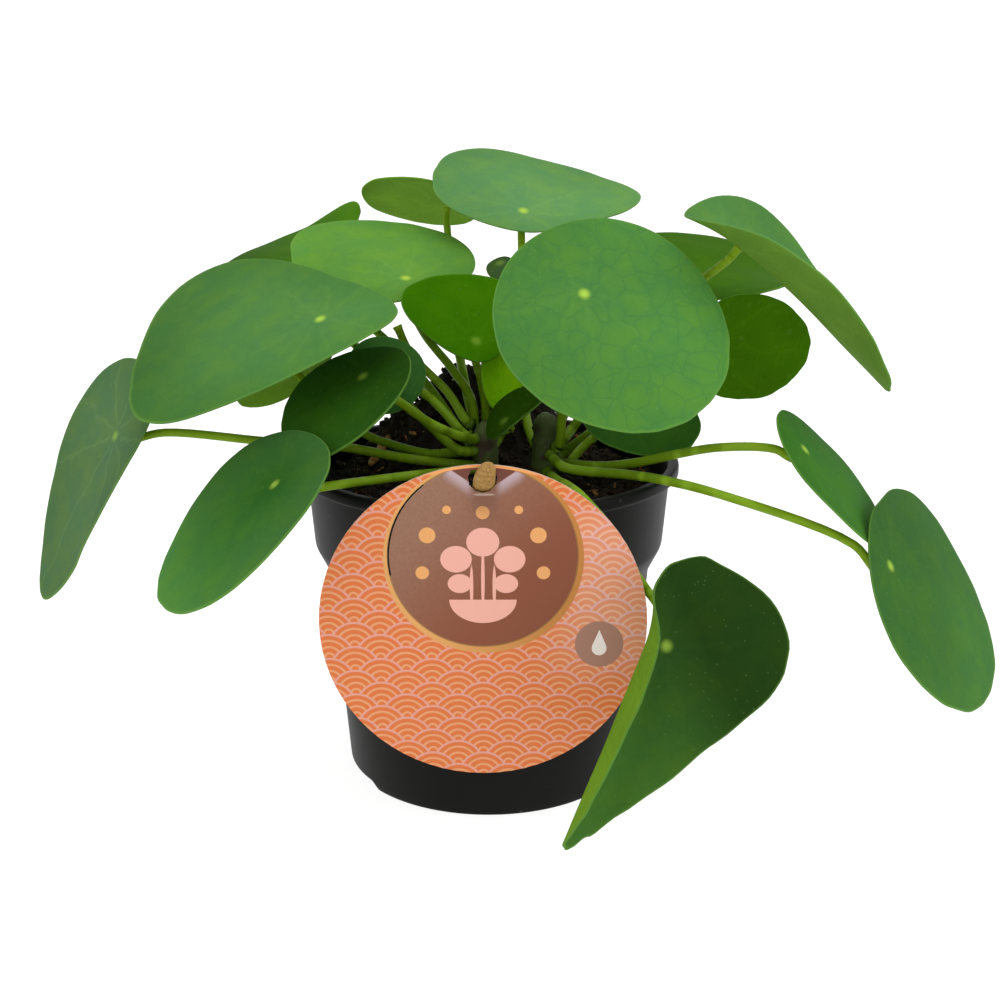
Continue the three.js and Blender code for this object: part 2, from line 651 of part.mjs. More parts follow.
// Points of a stalk from the side of its stem outwards
function stalkStart(stalk) {
  const stem = stems[stalk.stem];
  const via = stalk.via.map((point) => new THREE.Vector3(...point));
  const outward = new THREE.Vector3(via[0].x - stem.x, via[0].y - stem.y, 0);
  const climb = Math.atan2(Math.abs(via[0].z - stalk.rise), outward.length() - stemRadius);
  const [footRadius] = stalk.stalk ?? stalkRadii;
  const away = stemRadius + gap + footRadius * Math.sin(climb);
  const root = new THREE.Vector3(stem.x, stem.y, stalk.rise);
  return [root.addScaledVector(outward.normalize(), away), ...via];
}
function stalkPath(leaf) {
  const { normal } = leafAxes(leaf);
  const hub = new THREE.Vector3(...leaf.hub);
  const end = hub.clone().addScaledVector(normal, -(bladeThickness / 2 + gap));
  const near = hub.clone().addScaledVector(normal, -stalkApproach);
  return [...stalkStart(leaf), near, end];
}

for (const leaf of leaves) {
  const [footRadius, headRadius] = leaf.stalk ?? stalkRadii;
  add(`leaf_${leaf.name}_blade`, bladeGeometry(leaf, bladeThickness), material(0x4f8440, 0.45));
  add(`leaf_${leaf.name}_stalk`, stalkGeometry(stalkPath(leaf), footRadius, headRadius),
    material(0x7d9440, 0.5));
}
add('cut_stalk', stalkGeometry(stalkStart(cutStalk), ...stalkRadii), material(0x7d9440, 0.5));

// Bark chip: a rough splinter, thinner at its ends
function chipGeometry() {
  const place = ([x, y]) => new THREE.Vector3(x, y, soilHeight(x, y) + chipClear);
  const foot = place(chipFoot);
  const head = place(chipHead);
  const along = head.clone().sub(foot).normalize();
  const across = new THREE.Vector3(-along.y, along.x, 0).normalize();
  const up = new THREE.Vector3().crossVectors(along, across).normalize();
  const stations = [
    { share: 0, width: 0.35, thick: 0.5 },
    { share: 0.12, width: 0.8, thick: 1 },
    { share: 0.4, width: 1, thick: 0.9 },
    { share: 0.7, width: 0.85, thick: 1.1 },
    { share: 0.93, width: 0.6, thick: 0.8 },
    { share: 1, width: 0.3, thick: 0.5 },
  ];
  const rings = stations.map(({ share, width, thick }, index) => {
    const centre = foot.clone().lerp(head, share).addScaledVector(across, (index % 2) * 0.3);
    const ring = [];
    for (let side = 0; side < 6; side += 1) {
      const angle = ((side + 0.5) / 6) * 2 * Math.PI;
      ring.push(centre.clone()
        .addScaledVector(across, (Math.cos(angle) * width * chipWidth) / 2)
        .addScaledVector(up, (Math.sin(angle) * thick * chipThickness) / 2));
    }
    return ring;
  });
  const body = ringBody(rings, foot, head);
  return geometryFrom(body.points, body.faces);
}
add('bark_chip', chipGeometry(), material(0x7a5a34, 0.85));

export default group;
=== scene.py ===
import math
import random

import bmesh
import bpy
from mathutils import Matrix, Vector, noise


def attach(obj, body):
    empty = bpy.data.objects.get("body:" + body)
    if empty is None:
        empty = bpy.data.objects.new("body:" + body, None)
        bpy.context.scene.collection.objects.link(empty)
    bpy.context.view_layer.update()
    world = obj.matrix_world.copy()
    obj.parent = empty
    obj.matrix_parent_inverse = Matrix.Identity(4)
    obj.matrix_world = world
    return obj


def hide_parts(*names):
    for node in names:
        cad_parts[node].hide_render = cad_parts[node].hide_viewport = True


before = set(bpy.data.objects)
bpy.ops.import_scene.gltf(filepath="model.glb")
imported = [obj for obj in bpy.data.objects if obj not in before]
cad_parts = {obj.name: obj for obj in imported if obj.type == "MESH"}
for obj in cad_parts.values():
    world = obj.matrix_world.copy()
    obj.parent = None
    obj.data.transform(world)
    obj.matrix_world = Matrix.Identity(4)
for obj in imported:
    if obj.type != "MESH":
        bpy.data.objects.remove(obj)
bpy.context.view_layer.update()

MM = 0.001
TURN = 2 * math.pi

# Sizes in millimetres, as in the model
POT_HEIGHT = 102
POT_WALL = 1.2
BASE_RADIUS = 46
BODY_TOP = (51.4, 68)
SHOULDER = (55.4, 76)
BAND_TOP_RADIUS = 57.2
LIP_RADIUS = 60
LIP_HEIGHT = 4
HOLE_CIRCLE = 34
HOLE_RADIUS = 3.5
HOLES = 6
NOTCH_AZIMUTHS = (-165, 15)
NOTCH_HALF_WIDTH = 24
NOTCH_RAMP = 7
NOTCH_INNER = 30
NOTCH_HEIGHT = 2.8
POT_FLOOR = 4.8
SOIL_EDGE = 94
SOIL_FOOT = 5.2
SOIL_RADIUS = 54.9
# Heaps of soil: middle, spread and height. The far one is only drawn here, where it hides the background
HEAPS = ((-10, 36, 22, 33), (19, 39, 13, 17))
FAR_HEAP = (-36, 35.5, 8, 14)
STEM_RADIUS = 4.4
STEM_FOOT = 66
STEMS = ((-1, 2, 113), (18, 1, 116))
GAP = 0.3
BLADE = 0.8
STALK = (1.7, 1.3)
LABEL_CENTRE = (-1.2, 68.8)
LABEL_RADIUS = 46.5
LABEL_THICKNESS = 0.7
LABEL_FRONT = -61
DISC_CENTRE = 88.6
DISC_RADIUS = 26.5
STICK = dict(wide=3.5, thick=1.6, lean=40, crossing=110.5)
CHIP = ((-38.5, 10), (-33, 26), 3.2, 1.4)
CHIP_ABOVE_SOIL = 1.2
CUT_STALK = dict(stem=0, rise=111.5, via=((-13, 8, 121), (-25, 10, 133.5), (-29, 10.5, 142)), stalk=STALK)

# Leaves. hub: where the stalk meets the blade. face: azimuth and elevation of the upper face. spin: turn of
# the tip from downhill. size: length and width. foot: share of the length behind the hub. bend: direction
# that the blade bends along, the bend of its two sides, and its reach. arch: bend across that, one value or
# one for each side. wave: the margin's waves. lobes: swellings of the outline, each with its middle, reach
# and share of the radius. rolled: width and taper of a rolled side. unroll: share of the roll left behind
# the hub, and the distances over which it is lost. stem, rise, via: the course of the stalk. colour: the
# blade near the hub and at its margin, set to the leaf's look under its light, so that besides its own green
# it holds painted shade and, on the paler leaves, a painted sheen. under: its lower side. hub_light: how
# bright the spot over the stalk is. veined, streaked: how strong the net is, and how far the rays reach.
# scalloped: how uneven the margin is. lit: painted light and shade, the way across and up in which the
# blade's colour is painted paler, and how much in 30 mm.
LEAF = dict(foot=0.3, taper=-0.06, bend=(90, 5, 5, 30), arch=5, wave=(0.3, 3, 0), lobes=(), stalk=STALK,
            stem=0, hub_light=0.2, veined=0.4, streaked=0.2, scalloped=0.01, lit=(0, 0, 0))
LEAVES = {
    "01": dict(
        hub=(-50, -15, 148), face=(-124, 62), spin=-75, size=(86, 68), foot=0.29, taper=0.52,
        bend=(90, 10, 0, 40), wave=(0.6, 3, 0), lobes=((-35, 32, 0.25), (-105, 38, -0.17), (70, 40, 0.05)),
        rise=104, via=((-10, -4, 105.5), (-18, -1, 112), (-28, 2, 121), (-38, 4, 133), (-44, -2, 140.5)),
        colour=((90, 140, 74), (80, 129, 60)), hub_light=1, lit=(1, 0, 0.1)),
    "02": dict(
        hub=(-116.6, -4.3, 109.6), face=(-141, 26), spin=-24, size=(83, 51), foot=0.28, taper=-0.15,
        bend=(90, -30, 0, 35), arch=8, wave=(0.5, 4, 40),
        lobes=((-120, 34, 0.32), (145, 32, -0.15), (18, 24, 0.05)), rise=99,
        via=((-26, -6, 103), (-44, -12, 108), (-69, -12, 110), (-100, -9, 112)),
        colour=((90, 123, 80), (81, 114, 68)), hub_light=0.4, veined=0.3, streaked=0.6),
    "03": dict(
        hub=(-59.6, -53, 107.3), face=(-151, 50), spin=-15, size=(65, 63), foot=0.28, bend=(90, 0, -5, 30),
        arch=8, wave=(0.5, 3, 90), rise=98.5, via=((-15, -16, 101), (-26, -32, 104), (-46, -48, 105.5)),
        colour=((42, 90, 28), (66, 111, 50)), hub_light=0.6, lit=(-0.5, -0.7, 0.4)),
    "04": dict(
        hub=(-37, -22, 132), face=(-136, 54), spin=4, size=(46, 43), foot=0.29, bend=(90, -10, -10, 25),
        rise=108, via=((-17, -11.5, 115), (-28, -16, 124)), colour=((40, 80, 14), (41, 79, 20)),
        hub_light=0.35, lit=(-0.7, -0.4, 0.45)),
    "05": dict(
        hub=(-30, -4, 133), face=(-80, 34), spin=-30, size=(26, 25), foot=0.32, bend=(90, 0, 0, 15),
        wave=(0.2, 3, 0), rise=108.3, via=((-17, 1, 119.5),), colour=((60, 104, 46), (54, 99, 40))),
    "06": dict(
        hub=(-70, 84, 158.6), face=(-152, 71), spin=15, size=(72, 56), foot=0.44, bend=(180, -14, 10, 20),
        wave=(0.5, 3, 0), lobes=((135, 32, -0.2), (-135, 26, -0.23), (-78, 30, 0.16), (-172, 12, 0.06)),
        rise=105, via=((-19, 14, 121), (-29, 22, 131), (-38, 33, 137), (-61, 68, 149)),
        colour=((64, 110, 10), (64, 110, 14)), hub_light=0.6, lit=(1, 0, 0.4)),
    "07": dict(
        hub=(-27, 25, 155), face=(-77, 69), spin=-156, size=(65, 66), foot=0.2, taper=-0.1, wave=(0.4, 3, 0),
        lobes=((65, 30, -0.12),), rise=108.5, via=((-6, 11, 119), (-12, 13, 128), (-21, 16, 139)),
        colour=((103, 154, 66), (93, 144, 58)), hub_light=1, lit=(-1, 0, 0.1)),
    "08": dict(
        hub=(-4, 5, 138), face=(-67, 41), spin=180, size=(34, 38), foot=0.22, taper=0.4, rise=110,
        via=((-1, 8.6, 116), (-2.5, 9.5, 125)), colour=((65, 121, 4), (59, 113, 2)), hub_light=0.3),
    "09": dict(
        hub=(-15, 92, 173.5), face=(68, 59), spin=108, size=(43, 39), foot=0.25, rise=103.5,
        via=((-9, 25, 126), (-13, 50, 145), (-15, 78, 163)), colour=((115, 162, 30), (105, 153, 26)),
        hub_light=0.5),
    "10": dict(
        hub=(-63, 15, 129), face=(136, 52), spin=0, size=(37, 33), rise=103,
        via=((-12, 3, 102.5), (-19, 2, 102.5), (-31, 4, 105), (-40, 5, 108.5)),
        colour=((96, 134, 40), (84, 120, 34)), under=(96, 140, 24), hub_light=0.5),
    "11": dict(
        hub=(11.5, 55, 174), face=(-77, 58), spin=160, size=(62, 74), foot=0.22, taper=-0.05,
        bend=(0, 20, 5, 45), wave=(0.6, 3, 0),
        lobes=((-138, 36, -0.45), (170, 25, -0.06), (100, 40, -0.09), (-72, 20, 0.14), (0, 30, -0.08),
             (45, 30, 0.05)), stem=1, rise=104, via=((12, 12, 112), (12, 30, 138), (11, 45, 159)),
        colour=((102, 150, 90), (95, 143, 80)), hub_light=1, lit=(1, 0, 0.06)),
    "12": dict(
        hub=(28, -25, 157), face=(-78, 40), spin=43, size=(72, 70), foot=0.33, bend=(90, 8, 8, 35), arch=8,
        wave=(0.5, 4, 0), stem=1, rise=106, via=((23, -5, 119), (27, -10, 140)),
        colour=((78, 129, 62), (81, 134, 59)), hub_light=1, veined=1, lit=(0.8, 0.5, 0.16)),
    "13": dict(
        hub=(3.7, 41, 158), face=(-116, 62), spin=30, size=(13, 10), wave=(0.2, 3, 0), rise=104,
        via=((6, 12, 112), (5, 28, 134)), stalk=(1.2, 0.9), colour=((62, 89, 48), (58, 84, 44))),
    "14": dict(
        hub=(5, 7, 119), face=(-60, 12), spin=180, size=(24, 16), foot=0.2, bend=(90, -20, -20, 10),
        wave=(0.1, 3, 0), rise=108, via=((3, 10, 113),), stalk=(1, 0.8),
        colour=((132, 194, 15), (124, 184, 10))),
    "15": dict(
        hub=(5, -7, 115), face=(-150, 45), spin=160, size=(24, 18), bend=(90, -30, -30, 10), wave=(0.1, 3, 0),
        rise=109, via=((3, -5, 111),), stalk=(1, 0.8), colour=((42, 73, 6), (36, 65, 4))),
    "16": dict(
        hub=(64, 48, 155), face=(-50, 70), spin=100, size=(84, 58), bend=(90, 5, -12, 30), wave=(0.5, 3, 0),
        stem=1, rise=110.5, via=((30, 14, 125), (50, 34, 142)), colour=((64, 110, 10), (58, 102, 5)),
        hub_light=0.6),
    "17": dict(
        hub=(73, 28.2, 133), face=(97, 12), spin=-85, size=(41, 37.5), foot=0.18, wave=(0.3, 5, 0), stem=1,
        rise=101, via=((36, 16, 108), (52, 21, 117), (65, 23.5, 125.3)), colour=((77, 138, 2), (69, 127, 1)),
        under=(70, 118, 8), hub_light=0.4, scalloped=0.015),
    "18": dict(
        hub=(76.5, 0, 168), face=(0, 53), spin=0, size=(85, 62), foot=0.23, taper=-0.2,
        bend=(94, -47, -20, 20), arch=(28, 8), lobes=((38, 24, 0.16), (86, 24, -0.07)), stem=1, rise=105.3,
        via=((28, 8, 111), (38, 19, 124), (52, 15, 144), (67.5, 2, 159)),
        colour=((92, 140, 75), (86, 134, 67)), under=(107, 148, 52), hub_light=0.7),
    "19": dict(
        hub=(41, 0, 118), face=(-84, 60), spin=60, size=(38, 35), stem=1, rise=98, via=((30, 1, 105),),
        colour=((58, 103, 34), (54, 99, 32)), hub_light=0.3),
    "20": dict(
        hub=(91.8, -38, 113.7), face=(-23, 43), spin=36, size=(50, 42), foot=0.24,
        lobes=((180, 40, -0.05), (-65, 40, 0.12), (80, 40, -0.06)), stem=1, rise=100.5,
        via=((34, -12, 102), (44, -20, 105), (57, -24, 109), (69, -28, 112), (84, -34, 113)),
        colour=((60, 115, 40), (61, 113, 38)), hub_light=0.8, lit=(0.5, -0.8, 0.15)),
    "21": dict(
        hub=(115.8, -50, 82.2), face=(-35, 32), spin=46, size=(73, 67), foot=0.14, taper=-0.15,
        wave=(0.4, 3, 0), lobes=((92, 30, 0.22), (48, 20, 0.05), (140, 16, -0.07), (-110, 40, -0.03)), stem=1,
        rise=103.5,
        via=((24, -18, 103), (43, -32, 104.5), (52, -38, 104.5), (67, -44, 102), (106, -46, 87.5)),
        colour=((63, 106, 46), (64, 108, 50)), hub_light=0.8, lit=(0.3, -0.9, 0.16)),
    "22": dict(
        hub=(49, -76, 68), face=(-80, 20), spin=-32, size=(90, 50), foot=0.32, taper=-0.8,
        bend=(96, -5, -100, 12), wave=(0.6, 7, 0), rolled=(0.75, -0.2), unroll=(0.35, -2, 22),
        lobes=((-170, 22, -0.05), (-135, 26, -0.14)), stem=1, rise=98,
        via=((21, -22, 100), (23, -42, 104), (27, -55.5, 104), (34, -56.5, 96), (39, -57.2, 87),
             (45, -57.2, 78), (48.5, -60.5, 73.5)), colour=((51, 85, 33), (50, 83, 30)), under=(108, 148, 40),
        hub_light=0.6, scalloped=0.03, lit=(-0.9, -0.45, 1.2)),
}


def linear(*colour):
    """A colour seen on a screen, 0 to 255, as the light it stands for."""
    shares = [value / 255 for value in colour]
    return tuple(s / 12.92 if s <= 0.04045 else ((s + 0.055) / 1.055) ** 2.4 for s in shares)


def mixed(a, b, share):
    """A value part of the way from a to b, for each of their numbers."""
    return tuple(x + (y - x) * share for x, y in zip(a, b))


# Materials
class Finish:
    """A material's nodes, made one line at a time."""

    def __init__(self, name, group=False):
        if group:
            self.tree = bpy.data.node_groups.new(name, "ShaderNodeTree")
            self.start = self.tree.nodes.new("NodeGroupInput")
            self.end = self.tree.nodes.new("NodeGroupOutput")
        else:
            self.material = bpy.data.materials.new(name)
            self.material.use_nodes = True
            self.tree = self.material.node_tree
            self.tree.nodes.clear()

    def node(self, kind, inputs=None, **settings):
        made = self.tree.nodes.new("ShaderNode" + kind)
        for key, value in settings.items():
            setattr(made, key, value)
        for key, value in (inputs or {}).items():
            self.put(made.inputs[key], value)
        return made

    def put(self, socket, value):
        if isinstance(value, bpy.types.NodeSocket):
            self.tree.links.new(value, socket)
        elif isinstance(value, tuple) and socket.type == "RGBA" and len(value) == 3:
            socket.default_value = (*value, 1)
        else:
            socket.default_value = value

    def math(self, operation, *values, clamp=False):
        made = self.node("Math", operation=operation, use_clamp=clamp)
        for socket, value in zip(made.inputs, values):
            self.put(socket, value)
        return made.outputs[0]

    def times(self, *values):
        return self.math("MULTIPLY", *values)

    def over(self, *values):
        return self.math("DIVIDE", *values)

    def plus(self, *values):
        return self.math("ADD", *values)

    def minus(self, *values):
        return self.math("SUBTRACT", *values)

    def length(self, a, b):
        return self.math("SQRT", self.plus(self.times(a, a), self.times(b, b)))

    def blend(self, factor, a, b, how="MIX"):
        made = self.node("Mix", data_type="RGBA", blend_type=how)
        for socket, value in zip((made.inputs[0], made.inputs[6], made.inputs[7]), (factor, a, b)):
            self.put(socket, value)
        return made.outputs[2]

    def tint(self, colour, shares):
        return self.blend(1.0, colour, shares, "MULTIPLY")

    def step(self, value, low, high, to_low=0.0, to_high=1.0):
        made = self.node("MapRange", interpolation_type="SMOOTHSTEP")
        for socket, item in zip(made.inputs, (value, low, high, to_low, to_high)):
            self.put(socket, item)
        return made.outputs[0]

    def fall(self, value, low, high):
        return self.step(value, low, high, 1.0, 0.0)

    def noise(self, vector, scale, detail=3.0, rough=0.55, warp=0.0):
        return self.node("TexNoise", {"Vector": vector, "Scale": scale, "Detail": detail,
                                      "Roughness": rough, "Distortion": warp}).outputs["Fac"]

    def cells(self, vector, scale, feature="F1"):
        return self.node("TexVoronoi", {"Vector": vector, "Scale": scale}, feature=feature)

    def specks(self, vector, scale, share, cloud_scale):
        """Two masks: small spots, and soft clouds."""
        made = self.node("Group", {"Vector": vector, "Speck scale": scale, "Share": share,
                                   "Cloud scale": cloud_scale}, node_tree=SPECKS)
        return made.outputs["Specks"], made.outputs["Clouds"]

    def bump(self, height, strength, distance):
        return self.node("Bump", {"Height": height, "Strength": strength, "Distance": distance}).outputs[0]

    def place(self):
        return self.node("TexCoord").outputs["Object"]

    def attribute(self, name, output="Fac"):
        return self.node("Attribute", attribute_name=name).outputs[output]

    def give(self, masks):
        for key, value in masks.items():
            self.put(self.end.inputs[key], value)
        return self.tree

    def surface(self, shader):
        out = self.node("OutputMaterial")
        self.tree.links.new(shader, out.inputs["Surface"])
        return self.material

    def skin(self, colour, rough, relief, shine=0.5):
        """A plain shader. relief: what makes its bumps, how strong they are and how high."""
        return self.node("BsdfPrincipled", {"Base Color": colour, "Roughness": rough,
                                            "Specular IOR Level": shine,
                                            "Normal": self.bump(*relief)}).outputs[0]


def start_group(name, inputs, outputs):
    """A node group. inputs: each name with its usual value, or None for a place. All else are numbers."""
    f = Finish(name, group=True)
    for key, value in inputs.items():
        kind = "NodeSocketVector" if value is None else "NodeSocketFloat"
        socket = f.tree.interface.new_socket(name=key, in_out="INPUT", socket_type=kind)
        if value is not None:
            socket.default_value = value
    for key in outputs:
        f.tree.interface.new_socket(name=key, in_out="OUTPUT", socket_type="NodeSocketFloat")
    return f


def make_vein_group():
    """Rays from the hub, and the net of veins between them, in the flat leaf's own coordinates."""
    f = start_group("leaf veins", {"Leaf": None, "Cells": 14.0, "Rays": 9.0, "Reach": 0.2},
                    ("Net", "Fine net", "Middles", "Rays", "From hub"))
    leaf, cells, rays, reach = (f.start.outputs[i] for i in range(4))
    drift = f.noise(leaf, 9.0, 2.0).node.outputs["Color"]
    centred = f.node("VectorMath", {0: drift, 1: (0.5, 0.5, 0.5)}, operation="SUBTRACT")
    pushed = f.node("VectorMath", {0: centred.outputs[0], "Scale": 0.09}, operation="SCALE")
    warped = f.node("VectorMath", {0: leaf, 1: pushed.outputs[0]}, operation="ADD").outputs[0]
    net = f.cells(warped, cells, "DISTANCE_TO_EDGE").outputs["Distance"]
    fine = f.cells(warped, f.times(cells, 3.1), "DISTANCE_TO_EDGE").outputs["Distance"]
    away = f.node("VectorMath", {0: leaf}, operation="LENGTH").outputs["Value"]
    parts = f.node("SeparateXYZ", {0: warped})
    angle = f.math("ARCTAN2", parts.outputs["Y"], parts.outputs["X"])
    across = f.math("PINGPONG", f.times(angle, f.over(rays, TURN)), 0.5)
    ray = f.fall(f.times(across, f.over(away, rays)), 0.0, 0.0016)
    fade = f.times(f.step(away, 0.015, 0.05), f.fall(f.over(away, reach), 0.8, 1.7))
    return f.give({"Net": f.fall(net, 0.0, 0.07), "Middles": f.step(net, 0.12, 0.42),
                   "Fine net": f.fall(fine, 0.0, 0.12), "Rays": f.times(ray, fade),
                   "From hub": away})


def make_speck_group():
    """Small separate spots, and a soft cloudy variation."""
    f = start_group("specks and clouds",
                    {"Vector": None, "Speck scale": 100.0, "Share": 0.1, "Cloud scale": 10.0},
                    ("Specks", "Clouds"))
    vector, scale, share, cloud_scale = (f.start.outputs[i] for i in range(4))
    cells = f.cells(vector, scale)
    chosen = f.node("SeparateColor", {0: cells.outputs["Color"]}).outputs[0]
    spot = f.fall(cells.outputs["Distance"], 0.12, 0.3)
    return f.give({"Specks": f.times(f.math("LESS_THAN", chosen, share), spot),
                   "Clouds": f.noise(vector, cloud_scale, 4.0)})


VEINS = make_vein_group()
SPECKS = make_speck_group()


def lit_through(f, skin, colour, blue):
    """The leaf lets some light through, which turns yellower on its way."""
    through = f.node("BsdfTranslucent", {"Color": f.tint(colour, (1.3, 1.25, blue))}).outputs[0]
    return f.surface(f.node("MixShader", {0: 0.14, 1: skin, 2: through}).outputs[0])


def leaf_upper():
    f = Finish("leaf_upper")
    leaf = f.node("UVMap", uv_map="leaf").outputs[0]
    veined, streaked, tone = f.attribute("veined"), f.attribute("streaked"), f.attribute("tone", "Color")
    veins = f.node("Group", {"Leaf": leaf, "Reach": streaked}, node_tree=VEINS).outputs
    specks, clouds = f.specks(leaf, 85.0, 0.12, 8.0)

    def tinted(*shares):
        return f.tint(tone, shares)

    colour = f.blend(f.step(clouds, 0.35, 0.68), tinted(0.88, 0.95, 1.04), tinted(1.12, 1.05, 0.88))
    colour = f.blend(f.times(veins["Middles"], f.times(veined, 0.34)), colour, tinted(1.22, 1.12, 0.78))
    colour = f.blend(f.times(veins["Net"], f.times(veined, 0.36)), colour, tinted(0.6, 0.78, 1.15))
    colour = f.blend(f.times(veins["Fine net"], 0.12), colour, tinted(0.8, 0.88, 0.95))
    rays = f.times(veins["Rays"], f.math("MULTIPLY_ADD", streaked, 0.6, 0.03))
    colour = f.blend(rays, colour, tinted(1.5, 1.35, 1.3))
    colour = f.blend(f.times(specks, 0.13), colour, linear(150, 180, 120))
    glow = f.times(f.fall(veins["From hub"], 0.003, 0.025), f.attribute("hub_light"))
    colour = f.blend(glow, colour, linear(170, 208, 78))
    margin = f.times(f.step(f.attribute("share"), 0.975, 1.0), 0.35)
    colour = f.blend(margin, colour, linear(124, 170, 76))
    height = f.minus(f.times(clouds, 0.8), f.times(veins["Net"], veined))
    rough = f.plus(f.times(clouds, 0.16), 0.36)
    return lit_through(f, f.skin(colour, rough, (height, 0.22, 0.0003), 0.005), colour, 0.4)


def leaf_under():
    f = Finish("leaf_under")
    leaf = f.node("UVMap", uv_map="leaf").outputs[0]
    veins = f.node("Group", {"Leaf": leaf, "Reach": 0.3}, node_tree=VEINS).outputs
    specks, clouds = f.specks(leaf, 32.0, 0.3, 7.0)
    pale = f.attribute("under", "Color")
    colour = f.blend(f.step(clouds, 0.35, 0.68), f.tint(pale, (0.86, 0.9, 0.9)), pale)
    colour = f.blend(f.times(veins["Net"], 0.15), colour, f.tint(pale, (1.4, 1.3, 1.3)))
    colour = f.blend(f.times(veins["Rays"], 0.18), colour, f.tint(pale, (1.5, 1.4, 1.3)))
    colour = f.blend(f.times(specks, 0.2), colour, linear(112, 146, 60))
    height = f.plus(f.times(clouds, 0.4), veins["Net"])
    return lit_through(f, f.skin(colour, 0.6, (height, 0.3, 0.0003), 0.01), colour, 0.5)


def stalk_skin():
    f = Finish("stalk_skin")
    place, along = f.place(), f.attribute("along")
    # Darker toward the root, deep in the crown: painted shade. Toward the blade end, the stalk's own yellower
    # green.
    colour = f.blend(f.step(along, 0.0, 0.3), linear(76, 102, 18), linear(120, 153, 24))
    colour = f.blend(f.step(along, 0.75, 1.0), colour, linear(124, 155, 16))
    cloud = f.step(f.noise(place, 160.0), 0.35, 0.7)
    colour = f.blend(cloud, f.tint(colour, (0.9, 0.94, 0.9)), colour)
    streaks = f.noise(place, 900.0)
    return f.surface(f.skin(colour, 0.42, (streaks, 0.15, 0.0002), 0.12))


def grainy(name, noise_settings, dark, light, rough, relief, shine=0.5, patched=None):
    """A skin of two colours mixed by a grain, which also roughens its surface."""
    f = Finish(name)
    place = f.place()
    grain = f.noise(place, *noise_settings)
    colour = f.blend(grain, linear(*dark), linear(*light))
    if patched:
        colour = f.blend(f.step(f.noise(place, 150.0), 0.48, 0.62), colour, linear(*patched))
    return f.surface(f.skin(colour, rough, (grain, *relief), shine))


def soil_earth():
    f = Finish("soil_earth")
    place = f.place()
    specks, clouds = f.specks(place, 420.0, 0.05, 150.0)
    colour = f.blend(clouds, linear(12, 10, 8), linear(40, 30, 22))
    colour = f.blend(f.times(specks, 0.5), colour, linear(96, 78, 56))
    grain = f.noise(place, 900.0, 5.0, 0.7)
    return f.surface(f.skin(colour, 0.92, (grain, 0.8, 0.0012), 0.25))


def pot_plastic():
    f = Finish("pot_plastic")
    place = f.place()
    specks, clouds = f.specks(place, 500.0, 0.02, 26.0)
    colour = f.blend(f.step(clouds, 0.3, 0.75), linear(10, 10, 10), linear(16, 16, 15))
    colour = f.blend(f.times(specks, 0.25), colour, linear(110, 104, 96))
    height = f.node("SeparateXYZ", {0: place}).outputs["Z"]
    dust = f.times(f.fall(height, 0.0, 0.03), 0.03)
    colour = f.blend(dust, colour, linear(74, 70, 64))
    grain = f.noise(place, 2600.0, 2.0)
    rough = f.plus(f.times(clouds, 0.2), 0.36)
    return f.surface(f.skin(colour, rough, (grain, 0.12, 0.0002), 0.085))


def wood(name, dark, light, stretch, scale):
    """Straight-grained wood: fine streaks that run along one axis."""
    f = Finish(name)
    turn = (math.radians(-STICK["lean"]), 0, 0)
    run = f.node("Mapping", {"Vector": f.place(), "Scale": stretch, "Rotation": turn})
    grain = f.noise(run.outputs[0], scale, 5.0, 0.6, 0.4)
    fibre = f.noise(run.outputs[0], scale * 5, 3.0)
    colour = f.blend(f.step(grain, 0.3, 0.7), linear(*dark), linear(*light))
    colour = f.blend(f.times(fibre, 0.25), colour, linear(*mixed(dark, (0, 0, 0), 0.3)))
    return f.surface(f.skin(colour, 0.72, (fibre, 0.4, 0.0003)))


# Printed card
def make_wave_group():
    """Rows of overlapping fans. Line is 1 on the lines between their bands, Rim on their outer edge."""
    f = start_group("wave rows", {"Across": 0.0, "Up": 0.0, "Radius": 7.4}, ("Line", "Rim"))
    across, up, radius = (f.start.outputs[i] for i in range(3))
    rise = f.times(radius, 0.5)
    lowest = f.math("CEIL", f.over(f.minus(up, radius), rise))
    pitch = f.times(radius, 2.0)
    found = None
    for later in (2, 1, 0):
        row = f.plus(lowest, float(later))
        shifted = f.minus(across, f.times(f.math("FLOORED_MODULO", row, 2.0), radius))
        local = f.minus(shifted, f.times(f.math("ROUND", f.over(shifted, pitch)), pitch))
        depth = f.over(f.length(local, f.minus(up, f.times(row, rise))), radius)
        if found is None:
            found = depth
        else:
            inside = f.math("LESS_THAN", depth, 1.0)
            found = f.plus(f.times(inside, depth), f.times(f.minus(1.0, inside), found))
    inward = f.minus(1.0, found)
    band = f.math("FRACT", f.over(inward, 0.26))
    near = f.math("PINGPONG", f.minus(band, 0.12), 0.5)
    return f.give({"Line": f.fall(near, 0.13, 0.22), "Rim": f.fall(inward, 0.07, 0.11)})


def make_spot_group():
    """An oval spot: 1 inside, 0 outside."""
    f = start_group("oval spot", {"Across": 0.0, "Up": 0.0, "Middle across": 0.0, "Middle up": 0.0,
                                  "Half width": 1.0, "Half height": 1.0}, ("Inside",))
    across, up, mid_across, mid_up, wide, high = (f.start.outputs[i] for i in range(6))
    a = f.over(f.minus(across, mid_across), wide)
    b = f.over(f.minus(up, mid_up), high)
    sharp = f.over(1.0, f.over(0.12, f.math("MINIMUM", wide, high)))
    inside = f.math("MULTIPLY_ADD", f.minus(1.0, f.length(a, b)), sharp, 0.5, clamp=True)
    return f.give({"Inside": inside})


WAVES = make_wave_group()
SPOT = make_spot_group()


